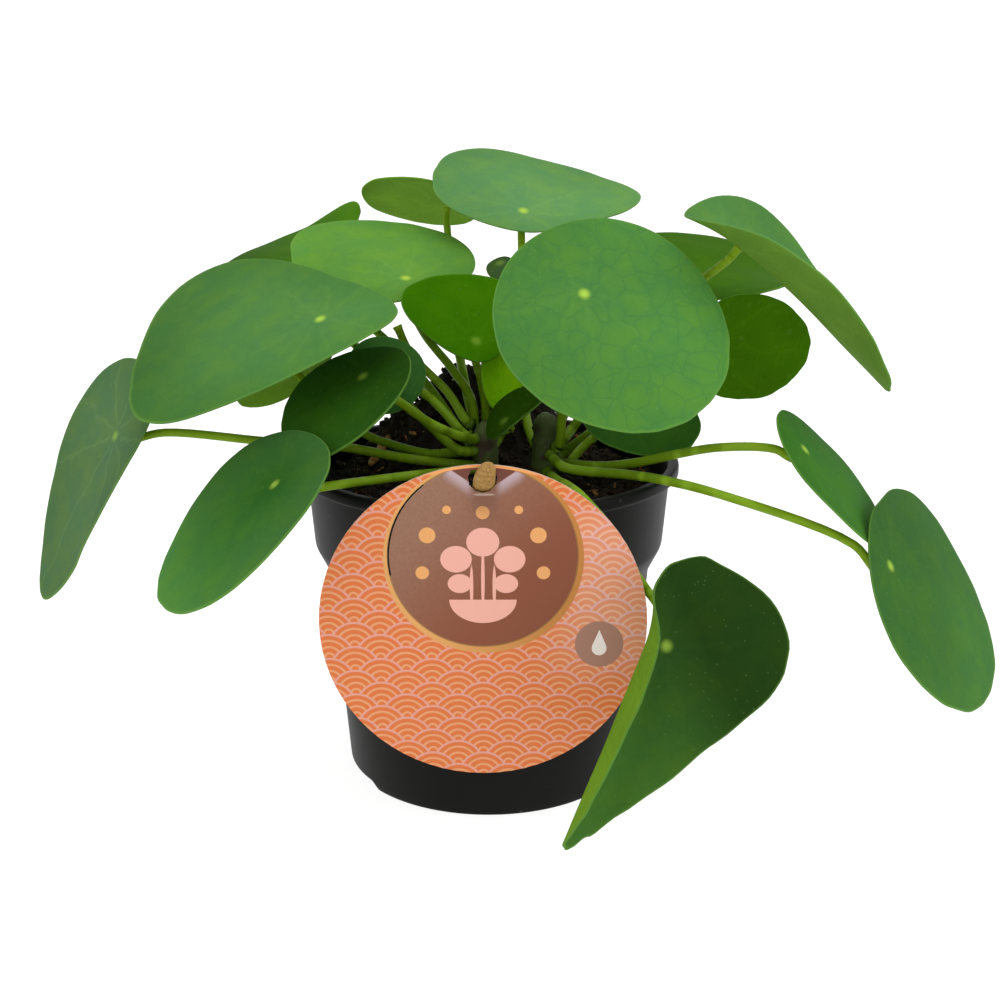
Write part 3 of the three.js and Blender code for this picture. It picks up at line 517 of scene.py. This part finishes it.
def printed_card():
    f = Finish("printed_card")
    parts = f.node("SeparateXYZ", {0: f.place()})
    across = f.minus(f.times(parts.outputs["X"], 1000.0), LABEL_CENTRE[0])
    up = f.times(parts.outputs["Z"], 1000.0)

    def spot(x, z, wide, high=None):
        made = f.node("Group", {}, node_tree=SPOT)
        values = (across, up, float(x), float(z), float(wide), float(high or wide))
        for socket, value in zip(made.inputs, values):
            f.put(socket, value)
        return made.outputs[0]

    def any_of(*masks):
        total = masks[0]
        for mask in masks[1:]:
            total = f.math("MAXIMUM", total, mask)
        return total

    def without(mask, hidden):
        return f.times(mask, f.minus(1.0, hidden))

    waves = f.node("Group", {"Across": across, "Up": up, "Radius": 7.3}, node_tree=WAVES)
    # Painted sheen: ink, lines and fan rims are washed paler over the right of the card, between its lower
    # rows and its top.
    fade = f.times(f.step(across, 12.0, 34.0), f.step(up, 44.0, 66.0))
    fade = f.times(fade, f.fall(up, 96.0, 108.0))
    ink = f.blend(fade, linear(207, 106, 46), linear(214, 136, 98))
    line = f.blend(fade, linear(215, 146, 98), linear(222, 166, 136))
    rim = f.blend(fade, linear(212, 146, 128), linear(216, 164, 156))
    colour = f.blend(waves.outputs["Line"], ink, line)
    colour = f.blend(waves.outputs["Rim"], colour, rim)

    # Gold ring round the brown disc, thicker below, with a fine dark line inside it
    ring = spot(0.2, DISC_CENTRE - 0.5, DISC_RADIUS + 1.6)
    groove = spot(0, DISC_CENTRE, DISC_RADIUS + 0.35)
    disc = spot(0, DISC_CENTRE, DISC_RADIUS)
    gold = f.blend(f.step(across, -20.0, 26.0), linear(210, 152, 84), linear(182, 118, 46))
    colour = f.blend(ring, colour, gold)
    colour = f.blend(f.times(groove, 0.75), colour, linear(120, 88, 34))
    # The brown disc, with a painted sheen that greys and pales it toward the upper left.
    brown = f.blend(f.step(f.minus(up, across), 66.0, 126.0), linear(126, 64, 34), linear(142, 103, 80))
    grain = f.noise(f.place(), 1500.0, 2.0)
    brown = f.blend(f.times(f.step(grain, 0.35, 0.65), 0.25), brown, linear(120, 64, 38))
    colour = f.blend(disc, colour, brown)

    # A small plant of round leaves in a bowl, and dots above it
    bowl = without(spot(0, 76, 9.5, 7.0), f.math("GREATER_THAN", up, 76.0))
    stalks = any_of(spot(0, 82, 0.5, 9), spot(-3.2, 80, 0.5, 6), spot(3.2, 80, 0.5, 6))
    leaves = any_of(spot(0, 93, 4.6, 4.2), spot(-7.5, 88, 4.4, 3.9), spot(7.5, 88, 4.4, 3.9),
                    spot(-6.5, 80.8, 3.4, 2.8), spot(6.5, 80.8, 3.4, 2.8))
    pink = any_of(bowl, stalks, leaves)
    colour = f.blend(f.times(pink, disc), colour, linear(226, 164, 148))
    dots = any_of(spot(-17, 84, 1.9), spot(17, 84, 1.9), spot(-15.5, 95, 2.3), spot(15.5, 95, 2.3),
                  spot(0, 101.6, 1.9), spot(-10, 102.4, 1.2), spot(10, 102.4, 1.2))
    colour = f.blend(dots, colour, linear(220, 156, 92))

    # Plain round patch with a water drop: a round foot, drawn up to a point
    patch = spot(33, 62.6, 6.9)
    slope = f.times(f.minus(66.9, up), 0.42)
    beside = f.math("ABSOLUTE", f.minus(across, 33.0))
    point = f.times(f.math("LESS_THAN", beside, slope), f.math("GREATER_THAN", up, 61.9))
    drop = any_of(spot(33, 61.3, 2.1), point)
    colour = f.blend(patch, colour, linear(158, 114, 96))
    colour = f.blend(f.times(drop, 0.9), colour, linear(236, 226, 220))

    # Folds painted on the flat card down to the slot: painted shade above them, a painted sheen below, a torn
    # edge under the stick, a painted shadow under the slot, a bare back
    beside = f.math("ABSOLUTE", f.minus(across, 0.5))
    fold = f.minus(f.minus(up, f.times(beside, 0.69)), 107.3)
    near = f.times(disc, f.fall(beside, 9.5, 12.5))
    # Painted shade above the fold lines, near the stick
    colour = f.blend(f.times(f.step(fold, -0.1, 0.5), near), colour, linear(104, 50, 34))
    # Painted sheen in a lilac-white band just below them
    shine = f.times(f.step(fold, -5.0, -0.2), f.fall(fold, -0.1, 0.3))
    shine = f.times(shine, f.times(near, f.step(beside, 2.5, 5.0)))
    colour = f.blend(f.times(shine, 0.6), colour, linear(200, 184, 196))
    colour = f.blend(spot(0.4, 106.8, 2.9, 0.35), colour, linear(196, 176, 160))
    shadow = f.times(f.fall(beside, 0.5, 7.0), f.step(up, 97.0, 106.0))
    colour = f.blend(f.times(f.times(shadow, disc), 0.5), colour, linear(96, 52, 36))
    edge = f.length(across, f.minus(up, LABEL_CENTRE[1]))
    strip = f.times(f.step(edge, LABEL_RADIUS - 0.9, LABEL_RADIUS - 0.7), f.step(up, 112.0, 113.0))
    colour = f.blend(strip, colour, linear(226, 152, 84))
    front = f.math("LESS_THAN", parts.outputs["Y"], (LABEL_FRONT + 0.05) * MM)
    fibres = f.noise(f.place(), 700.0, 4.0)
    board = f.blend(fibres, linear(186, 158, 134), linear(208, 184, 162))
    colour = f.blend(front, board, colour)
    return f.surface(f.skin(colour, 0.5, (fibres, 0.06, 0.0002), 0.4))


# Shapes
def bent(distance, angle, zone):
    """How far along and down a strip reaches that bends by an angle within a zone, then runs straight."""
    if abs(angle) < 0.001:
        return distance, 0.0
    far = abs(distance)
    curvature = angle / zone
    curved = min(far, zone)
    straight = far - curved
    along = math.sin(curved * curvature) / curvature + straight * math.cos(angle)
    down = (1 - math.cos(curved * curvature)) / curvature + straight * math.sin(angle)
    return math.copysign(along, distance) if distance else 0.0, down


def leaf_axes(leaf):
    """The directions of the leaf's tip, of its left side and of its upper face."""
    azimuth, elevation = (math.radians(a) for a in leaf["face"])
    normal = Vector((math.cos(elevation) * math.cos(azimuth), math.cos(elevation) * math.sin(azimuth),
                     math.sin(elevation)))
    downhill = (Vector((0, 0, -1)) + normal * normal.z).normalized()
    level = normal.cross(downhill)
    spin = math.radians(leaf["spin"])
    tip = downhill * math.cos(spin) + level * math.sin(spin)
    return tip, normal.cross(tip), normal


def lobe_swell(leaf, angle):
    swell = 1.0
    for middle, reach, amount in leaf["lobes"]:
        away = (math.degrees(angle) - middle + 180) % 360 - 180
        swell += amount * math.exp(-(away / reach) ** 2)
    return swell


def flat_point(leaf, angle, share):
    length, width = leaf["size"]
    scale, slant = 1, leaf["taper"]
    if math.sin(angle) < 0 and "rolled" in leaf:
        scale, slant = leaf["rolled"]
    swell = share * lobe_swell(leaf, angle)
    along = swell * (length * (0.5 - leaf["foot"]) + length / 2 * math.cos(angle))
    across = swell * width / 2 * scale * math.sin(angle) * math.exp(slant * math.cos(angle))
    return along, across


def roll_left(leaf, distance):
    if "unroll" not in leaf:
        return 1.0
    share, low, high = leaf["unroll"]
    ease = min(1.0, max(0.0, (distance - low) / (high - low)))
    return 1 - (1 - share) * ease * ease * (3 - 2 * ease)


def blade_point(leaf, angle, share):
    along, across = flat_point(leaf, angle, share)
    direction, first, second, zone = leaf["bend"]
    turn = math.radians(direction)
    s = along * math.cos(turn) + across * math.sin(turn)
    t = -along * math.sin(turn) + across * math.cos(turn)
    s2, drop_s = bent(s, math.radians(first if s > 0 else second * roll_left(leaf, t)), zone)
    ahead, behind = leaf["arch"] if isinstance(leaf["arch"], tuple) else (leaf["arch"],) * 2
    t2, drop_t = bent(t, math.radians(ahead if t > 0 else behind), sum(leaf["size"]) / 4)
    height, count, phase = leaf["wave"]
    wave = height * share * share * math.sin(count * angle + math.radians(phase))
    return Vector((s2 * math.cos(turn) - t2 * math.sin(turn), s2 * math.sin(turn) + t2 * math.cos(turn),
                   wave - drop_s - drop_t))


def spun(bm, row, centre, sides, merge=1e-5):
    """Turn a row of points about the vertical through the centre, and close the seam."""
    edges = [bm.edges.new(pair) for pair in zip(row, row[1:])]
    bmesh.ops.spin(bm, geom=row + edges, cent=centre, axis=(0, 0, 1), angle=TURN, steps=sides,
                   use_merge=True)
    bmesh.ops.remove_doubles(bm, verts=bm.verts[:], dist=merge)
    return bm


def round_sheet(shares, sides):
    """A flat round sheet, turned from a row of points that starts at its middle."""
    bm = bmesh.new()
    return spun(bm, [bm.verts.new((share, 0, 0)) for share in shares], (0, 0, 0), sides)


def mesh_of(bm, name, smooth=True):
    mesh = bpy.data.meshes.new(name)
    for face in bm.faces:
        face.smooth = smooth
    bm.to_mesh(mesh)
    bm.free()
    return mesh


def linked(name, data):
    made = bpy.data.objects.new(name, data)
    bpy.context.collection.objects.link(made)
    return made


def finished(bm, name, materials, smooth=True):
    """A visible piece that rides on the body."""
    mesh = mesh_of(bm, name, smooth)
    for material in materials:
        mesh.materials.append(material)
    piece = linked(name, mesh)
    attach(piece, "root")
    return piece


PLAIN_KEYS = ("hub_light", "veined", "streaked")
SMALL_LEAF = 30
MAP_SIZE = 100


def make_blade(name, leaf, upper, under):
    rows, sides = (8, 48) if leaf["size"][0] < SMALL_LEAF else (16, 96)
    bm = round_sheet([k / rows for k in range(rows + 1)], sides)
    layers = bm.verts.layers
    share_layer, *plain_layers = (layers.float.new(key) for key in ("share", *PLAIN_KEYS))
    tone_layer, under_layer = (layers.float_color.new(key) for key in ("tone", "under"))
    leaf_map = bm.loops.layers.uv.new("leaf")
    tip, side, normal = leaf_axes(leaf)
    hub = Vector(leaf["hub"])
    inner, outer = (linear(*colour) for colour in leaf["colour"])
    below = linear(*leaf["under"]) if "under" in leaf else mixed(outer, linear(104, 136, 62), 0.35)
    flat = {}
    seed = int(name) * 7.3
    for vert in bm.verts:
        share = vert.co.length
        angle = math.atan2(vert.co.y, vert.co.x)
        flat[vert.index] = flat_point(leaf, angle, share)
        round_place = Vector((math.cos(angle), math.sin(angle), seed)) * 5
        frayed = 1 + leaf["scalloped"] * share ** 6 * noise.noise(round_place)
        place = blade_point(leaf, angle, share * frayed)
        ripple = 0.35 * share * noise.noise(Vector((place.x * 0.07, place.y * 0.07, seed)))
        vert[share_layer] = share
        for key, layer in zip(PLAIN_KEYS, plain_layers):
            vert[layer] = leaf[key]
        offset = tip * place.x + side * place.y + normal * place.z
        # lit paints light and shade into the tone: the blade's colour is made paler on one side and darker on
        # the other, kept between 0.6 and 1.9 times; the lower side gets only the random variation.
        toward_x, toward_z, gain = leaf["lit"]
        bright = min(1.9, max(0.6, 1 + gain * (offset.x * toward_x + offset.z * toward_z) / 30))
        vary = bright * (1 + 0.12 * noise.noise(Vector((place.x * 0.035, place.y * 0.035, seed + 40))))
        vert[tone_layer] = (*(value * vary for value in mixed(inner, outer, share)), 1)
        vert[under_layer] = (*(value * vary / bright for value in below), 1)
        vert.co = (hub + offset + normal * ripple) * MM
    bm.verts.index_update()
    for face in bm.faces:
        for loop in face.loops:
            along, across = flat[loop.vert.index]
            loop[leaf_map].uv = (along / MAP_SIZE, across / MAP_SIZE)
    piece = finished(bm, f"blade_{name}", [upper, under])
    wall = piece.modifiers.new("thickness", "SOLIDIFY")
    wall.thickness = BLADE * 0.85 * MM
    wall.offset = 0
    wall.material_offset = 1
    wall.material_offset_rim = 0
    edge = piece.modifiers.new("soft edge", "BEVEL")
    edge.width = 0.22 * MM
    edge.segments = 2
    edge.limit_method = "ANGLE"
    edge.angle_limit = math.radians(60)
    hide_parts(f"leaf_{name}_blade")


def smooth_course(points, steps):
    """Points on a smooth curve through the given ones."""
    ends = [points[0] * 2 - points[1], *points, points[-1] * 2 - points[-2]]
    course = []
    for a, b, c, d in zip(ends, ends[1:], ends[2:], ends[3:]):
        t0, t1, t2 = (max((q - p).length ** 0.5, 1e-4) for p, q in ((a, b), (b, c), (c, d)))
        start = ((b - a) / t0 - (c - a) / (t0 + t1) + (c - b) / t1) * t1
        end = ((c - b) / t1 - (d - b) / (t1 + t2) + (d - c) / t2) * t1
        for step in range(steps):
            t = step / steps
            course.append(b * (2 * t ** 3 - 3 * t ** 2 + 1) + start * (t ** 3 - 2 * t ** 2 + t)
                          + c * (3 * t ** 2 - 2 * t ** 3) + end * (t ** 3 - t ** 2))
    course.append(points[-1].copy())
    return course


def tube(course, sizes, sides, across=Vector((1, 0, 0))):
    """A closed rod along a course, extruded ring by ring. sizes: half width and half thickness at each."""
    frames = []
    normal = across
    for index, point in enumerate(course):
        ahead = course[min(index + 1, len(course) - 1)] - course[max(index - 1, 0)]
        ahead.normalize()
        normal = (normal - ahead * normal.dot(ahead)).normalized()
        other = ahead.cross(normal)
        wide, thick = sizes[index]
        frames.append(Matrix((
            (normal.x * wide, other.x * thick, ahead.x, point.x),
            (normal.y * wide, other.y * thick, ahead.y, point.y),
            (normal.z * wide, other.z * thick, ahead.z, point.z),
            (0, 0, 0, 1),
        )))
    bm = bmesh.new()
    along = bm.verts.layers.float.new("along")
    ring = bmesh.ops.create_circle(bm, cap_ends=True, radius=1, segments=sides, matrix=frames[0])["verts"]
    cap = ring[0].link_faces[0]
    for index in range(1, len(frames)):
        grown = bmesh.ops.extrude_face_region(bm, geom=[cap])["geom"]
        ring = [item for item in grown if isinstance(item, bmesh.types.BMVert)]
        cap = next(item for item in grown if isinstance(item, bmesh.types.BMFace))
        bmesh.ops.transform(bm, matrix=frames[index] @ frames[index - 1].inverted(), verts=ring)
        for vert in ring:
            vert[along] = index / (len(frames) - 1)
    bmesh.ops.recalc_face_normals(bm, faces=bm.faces[:])
    return bm


def stalk_start(stalk, foot_radius):
    x, y, _ = STEMS[stalk["stem"]]
    via = [Vector(point) for point in stalk["via"]]
    outward = Vector((via[0].x - x, via[0].y - y, 0))
    climb = math.atan2(abs(via[0].z - stalk["rise"]), outward.length - STEM_RADIUS)
    away = STEM_RADIUS + GAP + foot_radius * math.sin(climb)
    outward.normalize()
    root = Vector((x, y, stalk["rise"])) + outward * away
    inside = root - outward * 1.6
    return [inside, root, *via]


def make_stalk(name, stalk, end_points, skin, node):
    foot, head = stalk["stalk"]
    points = stalk_start(stalk, foot) + end_points
    course = smooth_course(points, 7)
    count = len(course) - 1
    sizes = []
    for index in range(count + 1):
        share = index / count
        radius = foot + (head - foot) * min(1, share * 1.6)
        radius *= 1 + 0.22 * math.exp(-share * 22) + 0.25 * math.exp(-(1 - share) * 40)
        radius *= 1 + 0.03 * noise.noise(Vector((share * 9, foot * 3, points[1].x)))
        sizes.append((radius * MM, radius * MM))
    bm = tube([point * MM for point in course], sizes, 16, Vector((0, 1, 0.2)))
    piece = finished(bm, name, [skin])
    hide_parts(node)


def turned(profile, sides, x=0, y=0):
    """A closed body turned about the vertical through x, y, from its profile of radius and height."""
    bm = bmesh.new()
    row = [bm.verts.new(((x + radius) * MM, y * MM, height * MM)) for radius, height in profile]
    spun(bm, row, (x * MM, y * MM, 0), sides, 1e-6)
    bmesh.ops.recalc_face_normals(bm, faces=bm.faces[:])
    return bm


def rounded(points, radius, steps=4):
    """A profile with each inner corner replaced by a small arc."""
    out = [Vector(points[0])]
    for before, corner, after in zip(points, points[1:], points[2:]):
        before, corner, after = Vector(before), Vector(corner), Vector(after)
        reach = min(radius, (before - corner).length * 0.45, (after - corner).length * 0.45)
        a = corner + (before - corner).normalized() * reach
        b = corner + (after - corner).normalized() * reach
        for step in range(steps + 1):
            t = step / steps
            out.append(a * (1 - t) ** 2 + corner * 2 * t * (1 - t) + b * t ** 2)
    out.append(Vector(points[-1]))
    return [tuple(point) for point in out]


def make_pot(plastic):
    lip_foot = POT_HEIGHT - LIP_HEIGHT
    inner_top = BAND_TOP_RADIUS - POT_WALL
    profile = [
        (0, 0), (BASE_RADIUS - 0.4, 0), (BASE_RADIUS + 0.1, 3), BODY_TOP,
        (BODY_TOP[0] + 2.2, BODY_TOP[1] + 4.4), SHOULDER, (BAND_TOP_RADIUS, lip_foot),
        (LIP_RADIUS, lip_foot + 0.3), (LIP_RADIUS, POT_HEIGHT), (inner_top + 0.6, POT_HEIGHT),
        (inner_top - 0.2, lip_foot), (SHOULDER[0] - POT_WALL, SHOULDER[1] + 0.6),
        (BODY_TOP[0] - POT_WALL, BODY_TOP[1]), (BASE_RADIUS - POT_WALL, POT_FLOOR), (0, POT_FLOOR),
    ]
    bm = turned(rounded(profile, 1.1), 192)
    pot = finished(bm, "pot_shell", [plastic])
    cutters = []
    for hole in range(HOLES):
        angle = (hole + 0.25) / HOLES * TURN
        drill = bmesh.new()
        place = Vector((math.cos(angle), math.sin(angle), 0)) * HOLE_CIRCLE * MM
        bmesh.ops.create_cone(drill, cap_ends=True, segments=32, radius1=HOLE_RADIUS * MM,
                              radius2=HOLE_RADIUS * MM, depth=20 * MM, matrix=Matrix.Translation(place))
        cutters.append(drill)
    for azimuth in NOTCH_AZIMUTHS:
        bay = bmesh.new()
        outside = BASE_RADIUS + 10
        corners = ((NOTCH_INNER, -5), (outside, -5), (outside, NOTCH_HEIGHT), (NOTCH_INNER, NOTCH_HEIGHT))
        verts = [bay.verts.new((radius * MM, 0, height * MM)) for radius, height in corners]
        face = bay.faces.new(verts)
        reach = NOTCH_HALF_WIDTH + NOTCH_RAMP / 2
        start = Matrix.Rotation(math.radians(azimuth - reach), 3, "Z")
        bmesh.ops.rotate(bay, cent=(0, 0, 0), matrix=start, verts=verts)
        bmesh.ops.spin(bay, geom=[face], cent=(0, 0, 0), axis=(0, 0, 1),
                       angle=math.radians(2 * reach), steps=36)
        for vert in bay.verts:
            if vert.co.z > 0:
                turn = math.degrees(math.atan2(vert.co.y, vert.co.x)) - azimuth
                ease = min(1.0, (reach - abs((turn + 180) % 360 - 180)) / NOTCH_RAMP)
                vert.co.z = (NOTCH_HEIGHT * ease * ease * (3 - 2 * ease) - 0.1) * MM
        cutters.append(bay)
    tools = []
    for number, shape in enumerate(cutters):
        bmesh.ops.recalc_face_normals(shape, faces=shape.faces[:])
        tool = linked(f"cutter_{number}", mesh_of(shape, f"cutter_{number}", smooth=False))
        cut = pot.modifiers.new(tool.name, "BOOLEAN")
        cut.operation = "DIFFERENCE"
        cut.solver = "EXACT"
        cut.object = tool
        tools.append(tool)
    shape = bpy.data.meshes.new_from_object(pot.evaluated_get(bpy.context.evaluated_depsgraph_get()))
    pot.modifiers.clear()
    plain = pot.data
    pot.data = shape
    bpy.data.meshes.remove(plain)
    for tool in tools:
        mesh = tool.data
        bpy.data.objects.remove(tool)
        bpy.data.meshes.remove(mesh)
    pot.data.name = "pot_shell"
    pot.data.set_sharp_from_angle(angle=math.radians(50))
    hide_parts("pot")


def soil_height(x, y, heaps=(*HEAPS, FAR_HEAP)):
    edge = math.hypot(x, y) / (BAND_TOP_RADIUS - POT_WALL)
    heap = 0
    for mid_x, mid_y, spread, height in heaps:
        away = math.hypot(x - mid_x, y - mid_y) / spread
        heap += height * math.exp(-away * away) * max(0, 1 - edge ** 6)
    crumbs = math.sin(x * 0.55 + 1.3) * math.cos(y * 0.47 - 0.4) + 0.6 * math.sin((x - y) * 0.83)
    return SOIL_EDGE + heap + 0.9 * crumbs * max(0, 1 - edge ** 4)


def make_soil(earth, crumb, grit, bark):
    rings = 70
    profile = [(0, SOIL_FOOT), (44, SOIL_FOOT), (BODY_TOP[0] - 1.6, BODY_TOP[1]),
               (SHOULDER[0] - 1.6, SHOULDER[1] + 0.6)]
    profile += [(SOIL_RADIUS * k / rings, SOIL_EDGE) for k in range(rings, -1, -1)]
    bm = turned(profile, 200)
    for vert in bm.verts:
        if vert.co.z < (SOIL_EDGE - 0.01) * MM:
            continue
        x, y = vert.co.x / MM, vert.co.y / MM
        spot = Vector((x, y, 0))
        lumps = noise.fractal(spot * 0.22, 0.9, 2.1, 5) * 1.1 + abs(noise.noise(spot * 0.9)) * 0.9
        vert.co.z = (soil_height(x, y) + lumps - 0.3) * MM
    soil = finished(bm, "soil_surface", [earth])
    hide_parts("soil")

    dice = random.Random(11)

    def scattered(name, count, low, high, material, stretch=1.0):
        heap = bmesh.new()
        for _ in range(count):
            angle = dice.uniform(0, TURN)
            radius = 53 * math.sqrt(dice.random())
            x, y = radius * math.cos(angle), radius * math.sin(angle)
            size = dice.uniform(low, high) * MM
            angle = dice.uniform(0, TURN)
            axis = Vector((dice.gauss(0, 1), dice.gauss(0, 1), 0.3)).normalized()
            turn = Matrix.Rotation(angle, 4, axis)
            place = Matrix.Translation((x * MM, y * MM, soil_height(x, y) * MM + size * 0.4))
            wide, thick = dice.uniform(0.6, 1), dice.uniform(0.5, 0.9)
            shape = Matrix.Diagonal((size * stretch, size * wide, size * thick, 1))
            made = bmesh.ops.create_icosphere(heap, subdivisions=1, radius=1, matrix=place @ turn @ shape)
            for vert in made["verts"]:
                vert.co += Vector((dice.gauss(0, 1), dice.gauss(0, 1), dice.gauss(0, 1))) * size * 0.12
        piece = finished(heap, name, [material], smooth=False)

    scattered("soil_crumbs", 1500, 0.5, 1.7, crumb)
    scattered("soil_grit", 70, 0.25, 0.6, grit)
    scattered("bark_bits", 60, 0.4, 0.8, bark, 3.0)


def make_stem(number, stem, bark):
    x, y, top = stem
    profile = [(0, STEM_FOOT), (STEM_RADIUS * 0.8, STEM_FOOT)]
    steps = 44
    for step in range(steps + 1):
        height = STEM_FOOT + 2 + (top - 7 - STEM_FOOT) * step / steps
        scar = max(0, math.sin(height * 1.6)) ** 6
        profile.append((STEM_RADIUS * (0.94 + 0.03 * math.sin(height * 0.4)) + 0.3 * scar, height))
    profile += [(STEM_RADIUS * share, top - down) for share, down in ((0.86, 3), (0.6, 1), (0.25, 0), (0, 0))]
    bm = turned(profile, 32, x, y)
    for vert in bm.verts:
        away = Vector((vert.co.x - x * MM, vert.co.y - y * MM, 0))
        push = 1 + 0.1 * noise.noise(vert.co * 420) + 0.1 * noise.noise(vert.co * 150)
        vert.co.x = x * MM + away.x * push
        vert.co.y = y * MM + away.y * push
    piece = finished(bm, f"stem_{number}_bark", [bark])
    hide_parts(f"stem_{number}")


def make_stick(material):
    lean = math.radians(STICK["lean"])
    along = Vector((0, -math.sin(lean), math.cos(lean)))
    centre = Vector((LABEL_CENTRE[0], LABEL_FRONT + LABEL_THICKNESS / 2, STICK["crossing"]))
    # Distance up the stick, share of its width and shift to the right
    stations = [(-58, 0.9, 0), (-57, 1, 0), (-30, 1, 0), (-3, 0.92, 0.3), (1, 0.88, 0.5), (4, 0.8, 0.9),
                (6, 0.7, 1.3), (7.5, 0.56, 1.5), (8.5, 0.36, 1.7), (8.9, 0.16, 1.7)]
    course = [(centre + along * distance + Vector((shift, 0, 0))) * MM for distance, _, shift in stations]
    sizes = [(STICK["wide"] * scale * MM, STICK["thick"] * scale * MM) for _, scale, _ in stations]
    piece = finished(tube(course, sizes, 24), "stick_wood", [material])
    soft = piece.modifiers.new("smooth", "SUBSURF")
    soft.levels = 1
    soft.render_levels = 1
    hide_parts("label_stick")


def make_chip(material):
    (x0, y0), (x1, y1), width, thick = CHIP
    foot = Vector((x0, y0, soil_height(x0, y0, HEAPS) + CHIP_ABOVE_SOIL))
    head = Vector((x1, y1, soil_height(x1, y1, HEAPS) + CHIP_ABOVE_SOIL))
    course, sizes, steps = [], [], 16
    for step in range(steps + 1):
        share = step / steps
        aside, ahead = (noise.noise(Vector((share * 4, *seed))) for seed in ((0, 1), (3, 2)))
        wobble = Vector((aside, ahead, 0)) * 0.5
        course.append((foot.lerp(head, share) + wobble) * MM)
        taper = min(1, 0.35 + share * 5) * min(1, 0.3 + (1 - share) * 3)
        ragged = 1 + 0.25 * noise.noise(Vector((share * 11, 7, 3)))
        sizes.append((width / 2 * taper * ragged * MM, thick / 2 * min(1, 0.5 + taper) * MM))
    bm = tube(course, sizes, 14, (head - foot).cross(Vector((0, 0, 1))).normalized())
    piece = finished(bm, "bark_splinter", [material])
    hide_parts("bark_chip")


# Making the pieces
upper = leaf_upper()
under = leaf_under()
skin = stalk_skin()
for leaf_name, row in LEAVES.items():
    leaf = {**LEAF, **row}
    make_blade(leaf_name, leaf, upper, under)
    hub = Vector(leaf["hub"])
    normal = leaf_axes(leaf)[2]
    end = [hub - normal * 4, hub - normal * 0.35]
    make_stalk(f"stalk_{leaf_name}", leaf, end, skin, f"leaf_{leaf_name}_stalk")
make_stalk("stalk_cut", CUT_STALK, [], skin, "cut_stalk")

stem_skin = grainy("stem_bark", (420.0, 5.0, 0.65), (46, 60, 18), (80, 98, 34), 0.75, (0.5, 0.0005),
                   patched=(56, 46, 26))
crumb = grainy("crumb_earth", (500.0, 5.0, 0.7), (14, 11, 9), (62, 46, 32), 0.9, (0.6, 0.0006), 0.25)
grit = grainy("pale_grit", (1200.0, 4.0, 0.6), (120, 110, 96), (214, 208, 196), 0.85, (0.6, 0.0004))
bark = wood("chip_bark", (128, 80, 34), (196, 134, 70), (1.0, 4.0, 1.0), 260.0)
make_pot(pot_plastic())
make_soil(soil_earth(), crumb, grit, bark)
for number, stem in enumerate(STEMS, 1):
    make_stem(number, stem, stem_skin)
make_stick(wood("stick_birch", (148, 106, 46), (184, 146, 80), (5.0, 5.0, 0.4), 260.0))
make_chip(bark)

printed = printed_card()
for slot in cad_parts["label_card"].material_slots:
    slot.material = printed


# Floor, light and camera
def make_floor():
    bm = bmesh.new()
    profile = [(0, 0), (1.6, 0), (2.2, 0.06), (2.7, 0.25), (3.0, 0.6), (3.1, 1.3)]
    spun(bm, [bm.verts.new((radius, 0, height)) for radius, height in profile], (0, 0, 0), 96)
    bmesh.ops.recalc_face_normals(bm, faces=bm.faces[:])
    mesh = mesh_of(bm, "floor")
    f = Finish("studio_floor")
    cloud = f.noise(f.place(), 1.2, 2.0)
    colour = f.blend(cloud, (0.3, 0.3, 0.3), (0.33, 0.33, 0.33))
    shader = f.node("BsdfPrincipled", {"Base Color": colour, "Roughness": 0.9, "Specular IOR Level": 0.2,
                                       "Emission Color": (1.0, 1.0, 1.0), "Emission Strength": 0.88})
    mesh.materials.append(f.surface(shader.outputs[0]))
    linked("floor", mesh)


def add_light(name, place, target, size, power):
    data = bpy.data.lights.new(name, "AREA")
    data.shape = "RECTANGLE"
    data.size, data.size_y = size
    data.energy = power
    lamp = linked(name, data)
    lamp.location = place
    lamp.rotation_mode = "QUATERNION"
    lamp.rotation_quaternion = (Vector(target) - Vector(place)).to_track_quat("-Z", "Y")


# Camera: as worked out from the curves of the pot's lip and base
SENSOR_WIDTH = 36
FOCAL_SHARE = 1450 / 1000
CAMERA_PLACE = (0.0036, -0.446, 0.216)
CAMERA_PITCH = 16.05

make_floor()
add_light("top", (0.1, -0.15, 1.7), (0, 0, 0.1), (1.8, 1.8), 17)
add_light("front left", (-1.3, -1.3, 1.0), (0, 0, 0.1), (1.0, 1.0), 4)
add_light("right", (1.5, -0.6, 0.9), (0, 0, 0.1), (0.9, 0.9), 4.5)
world = bpy.data.worlds.new("studio")
world.use_nodes = True
sky = world.node_tree.nodes["Background"]
sky.inputs["Color"].default_value = (1, 1, 1, 1)
sky.inputs["Strength"].default_value = 0.55
scene = bpy.context.scene
scene.world = world

camera = linked("camera", bpy.data.cameras.new("camera"))
camera.data.sensor_width = SENSOR_WIDTH
camera.data.lens = SENSOR_WIDTH * FOCAL_SHARE
camera.location = CAMERA_PLACE
camera.rotation_euler = (math.radians(90 - CAMERA_PITCH), 0, 0)
camera.data.clip_start = 0.01
camera.data.clip_end = 50
scene.camera = camera
scene.view_settings.view_transform = "Standard"
scene.view_settings.look = "None"
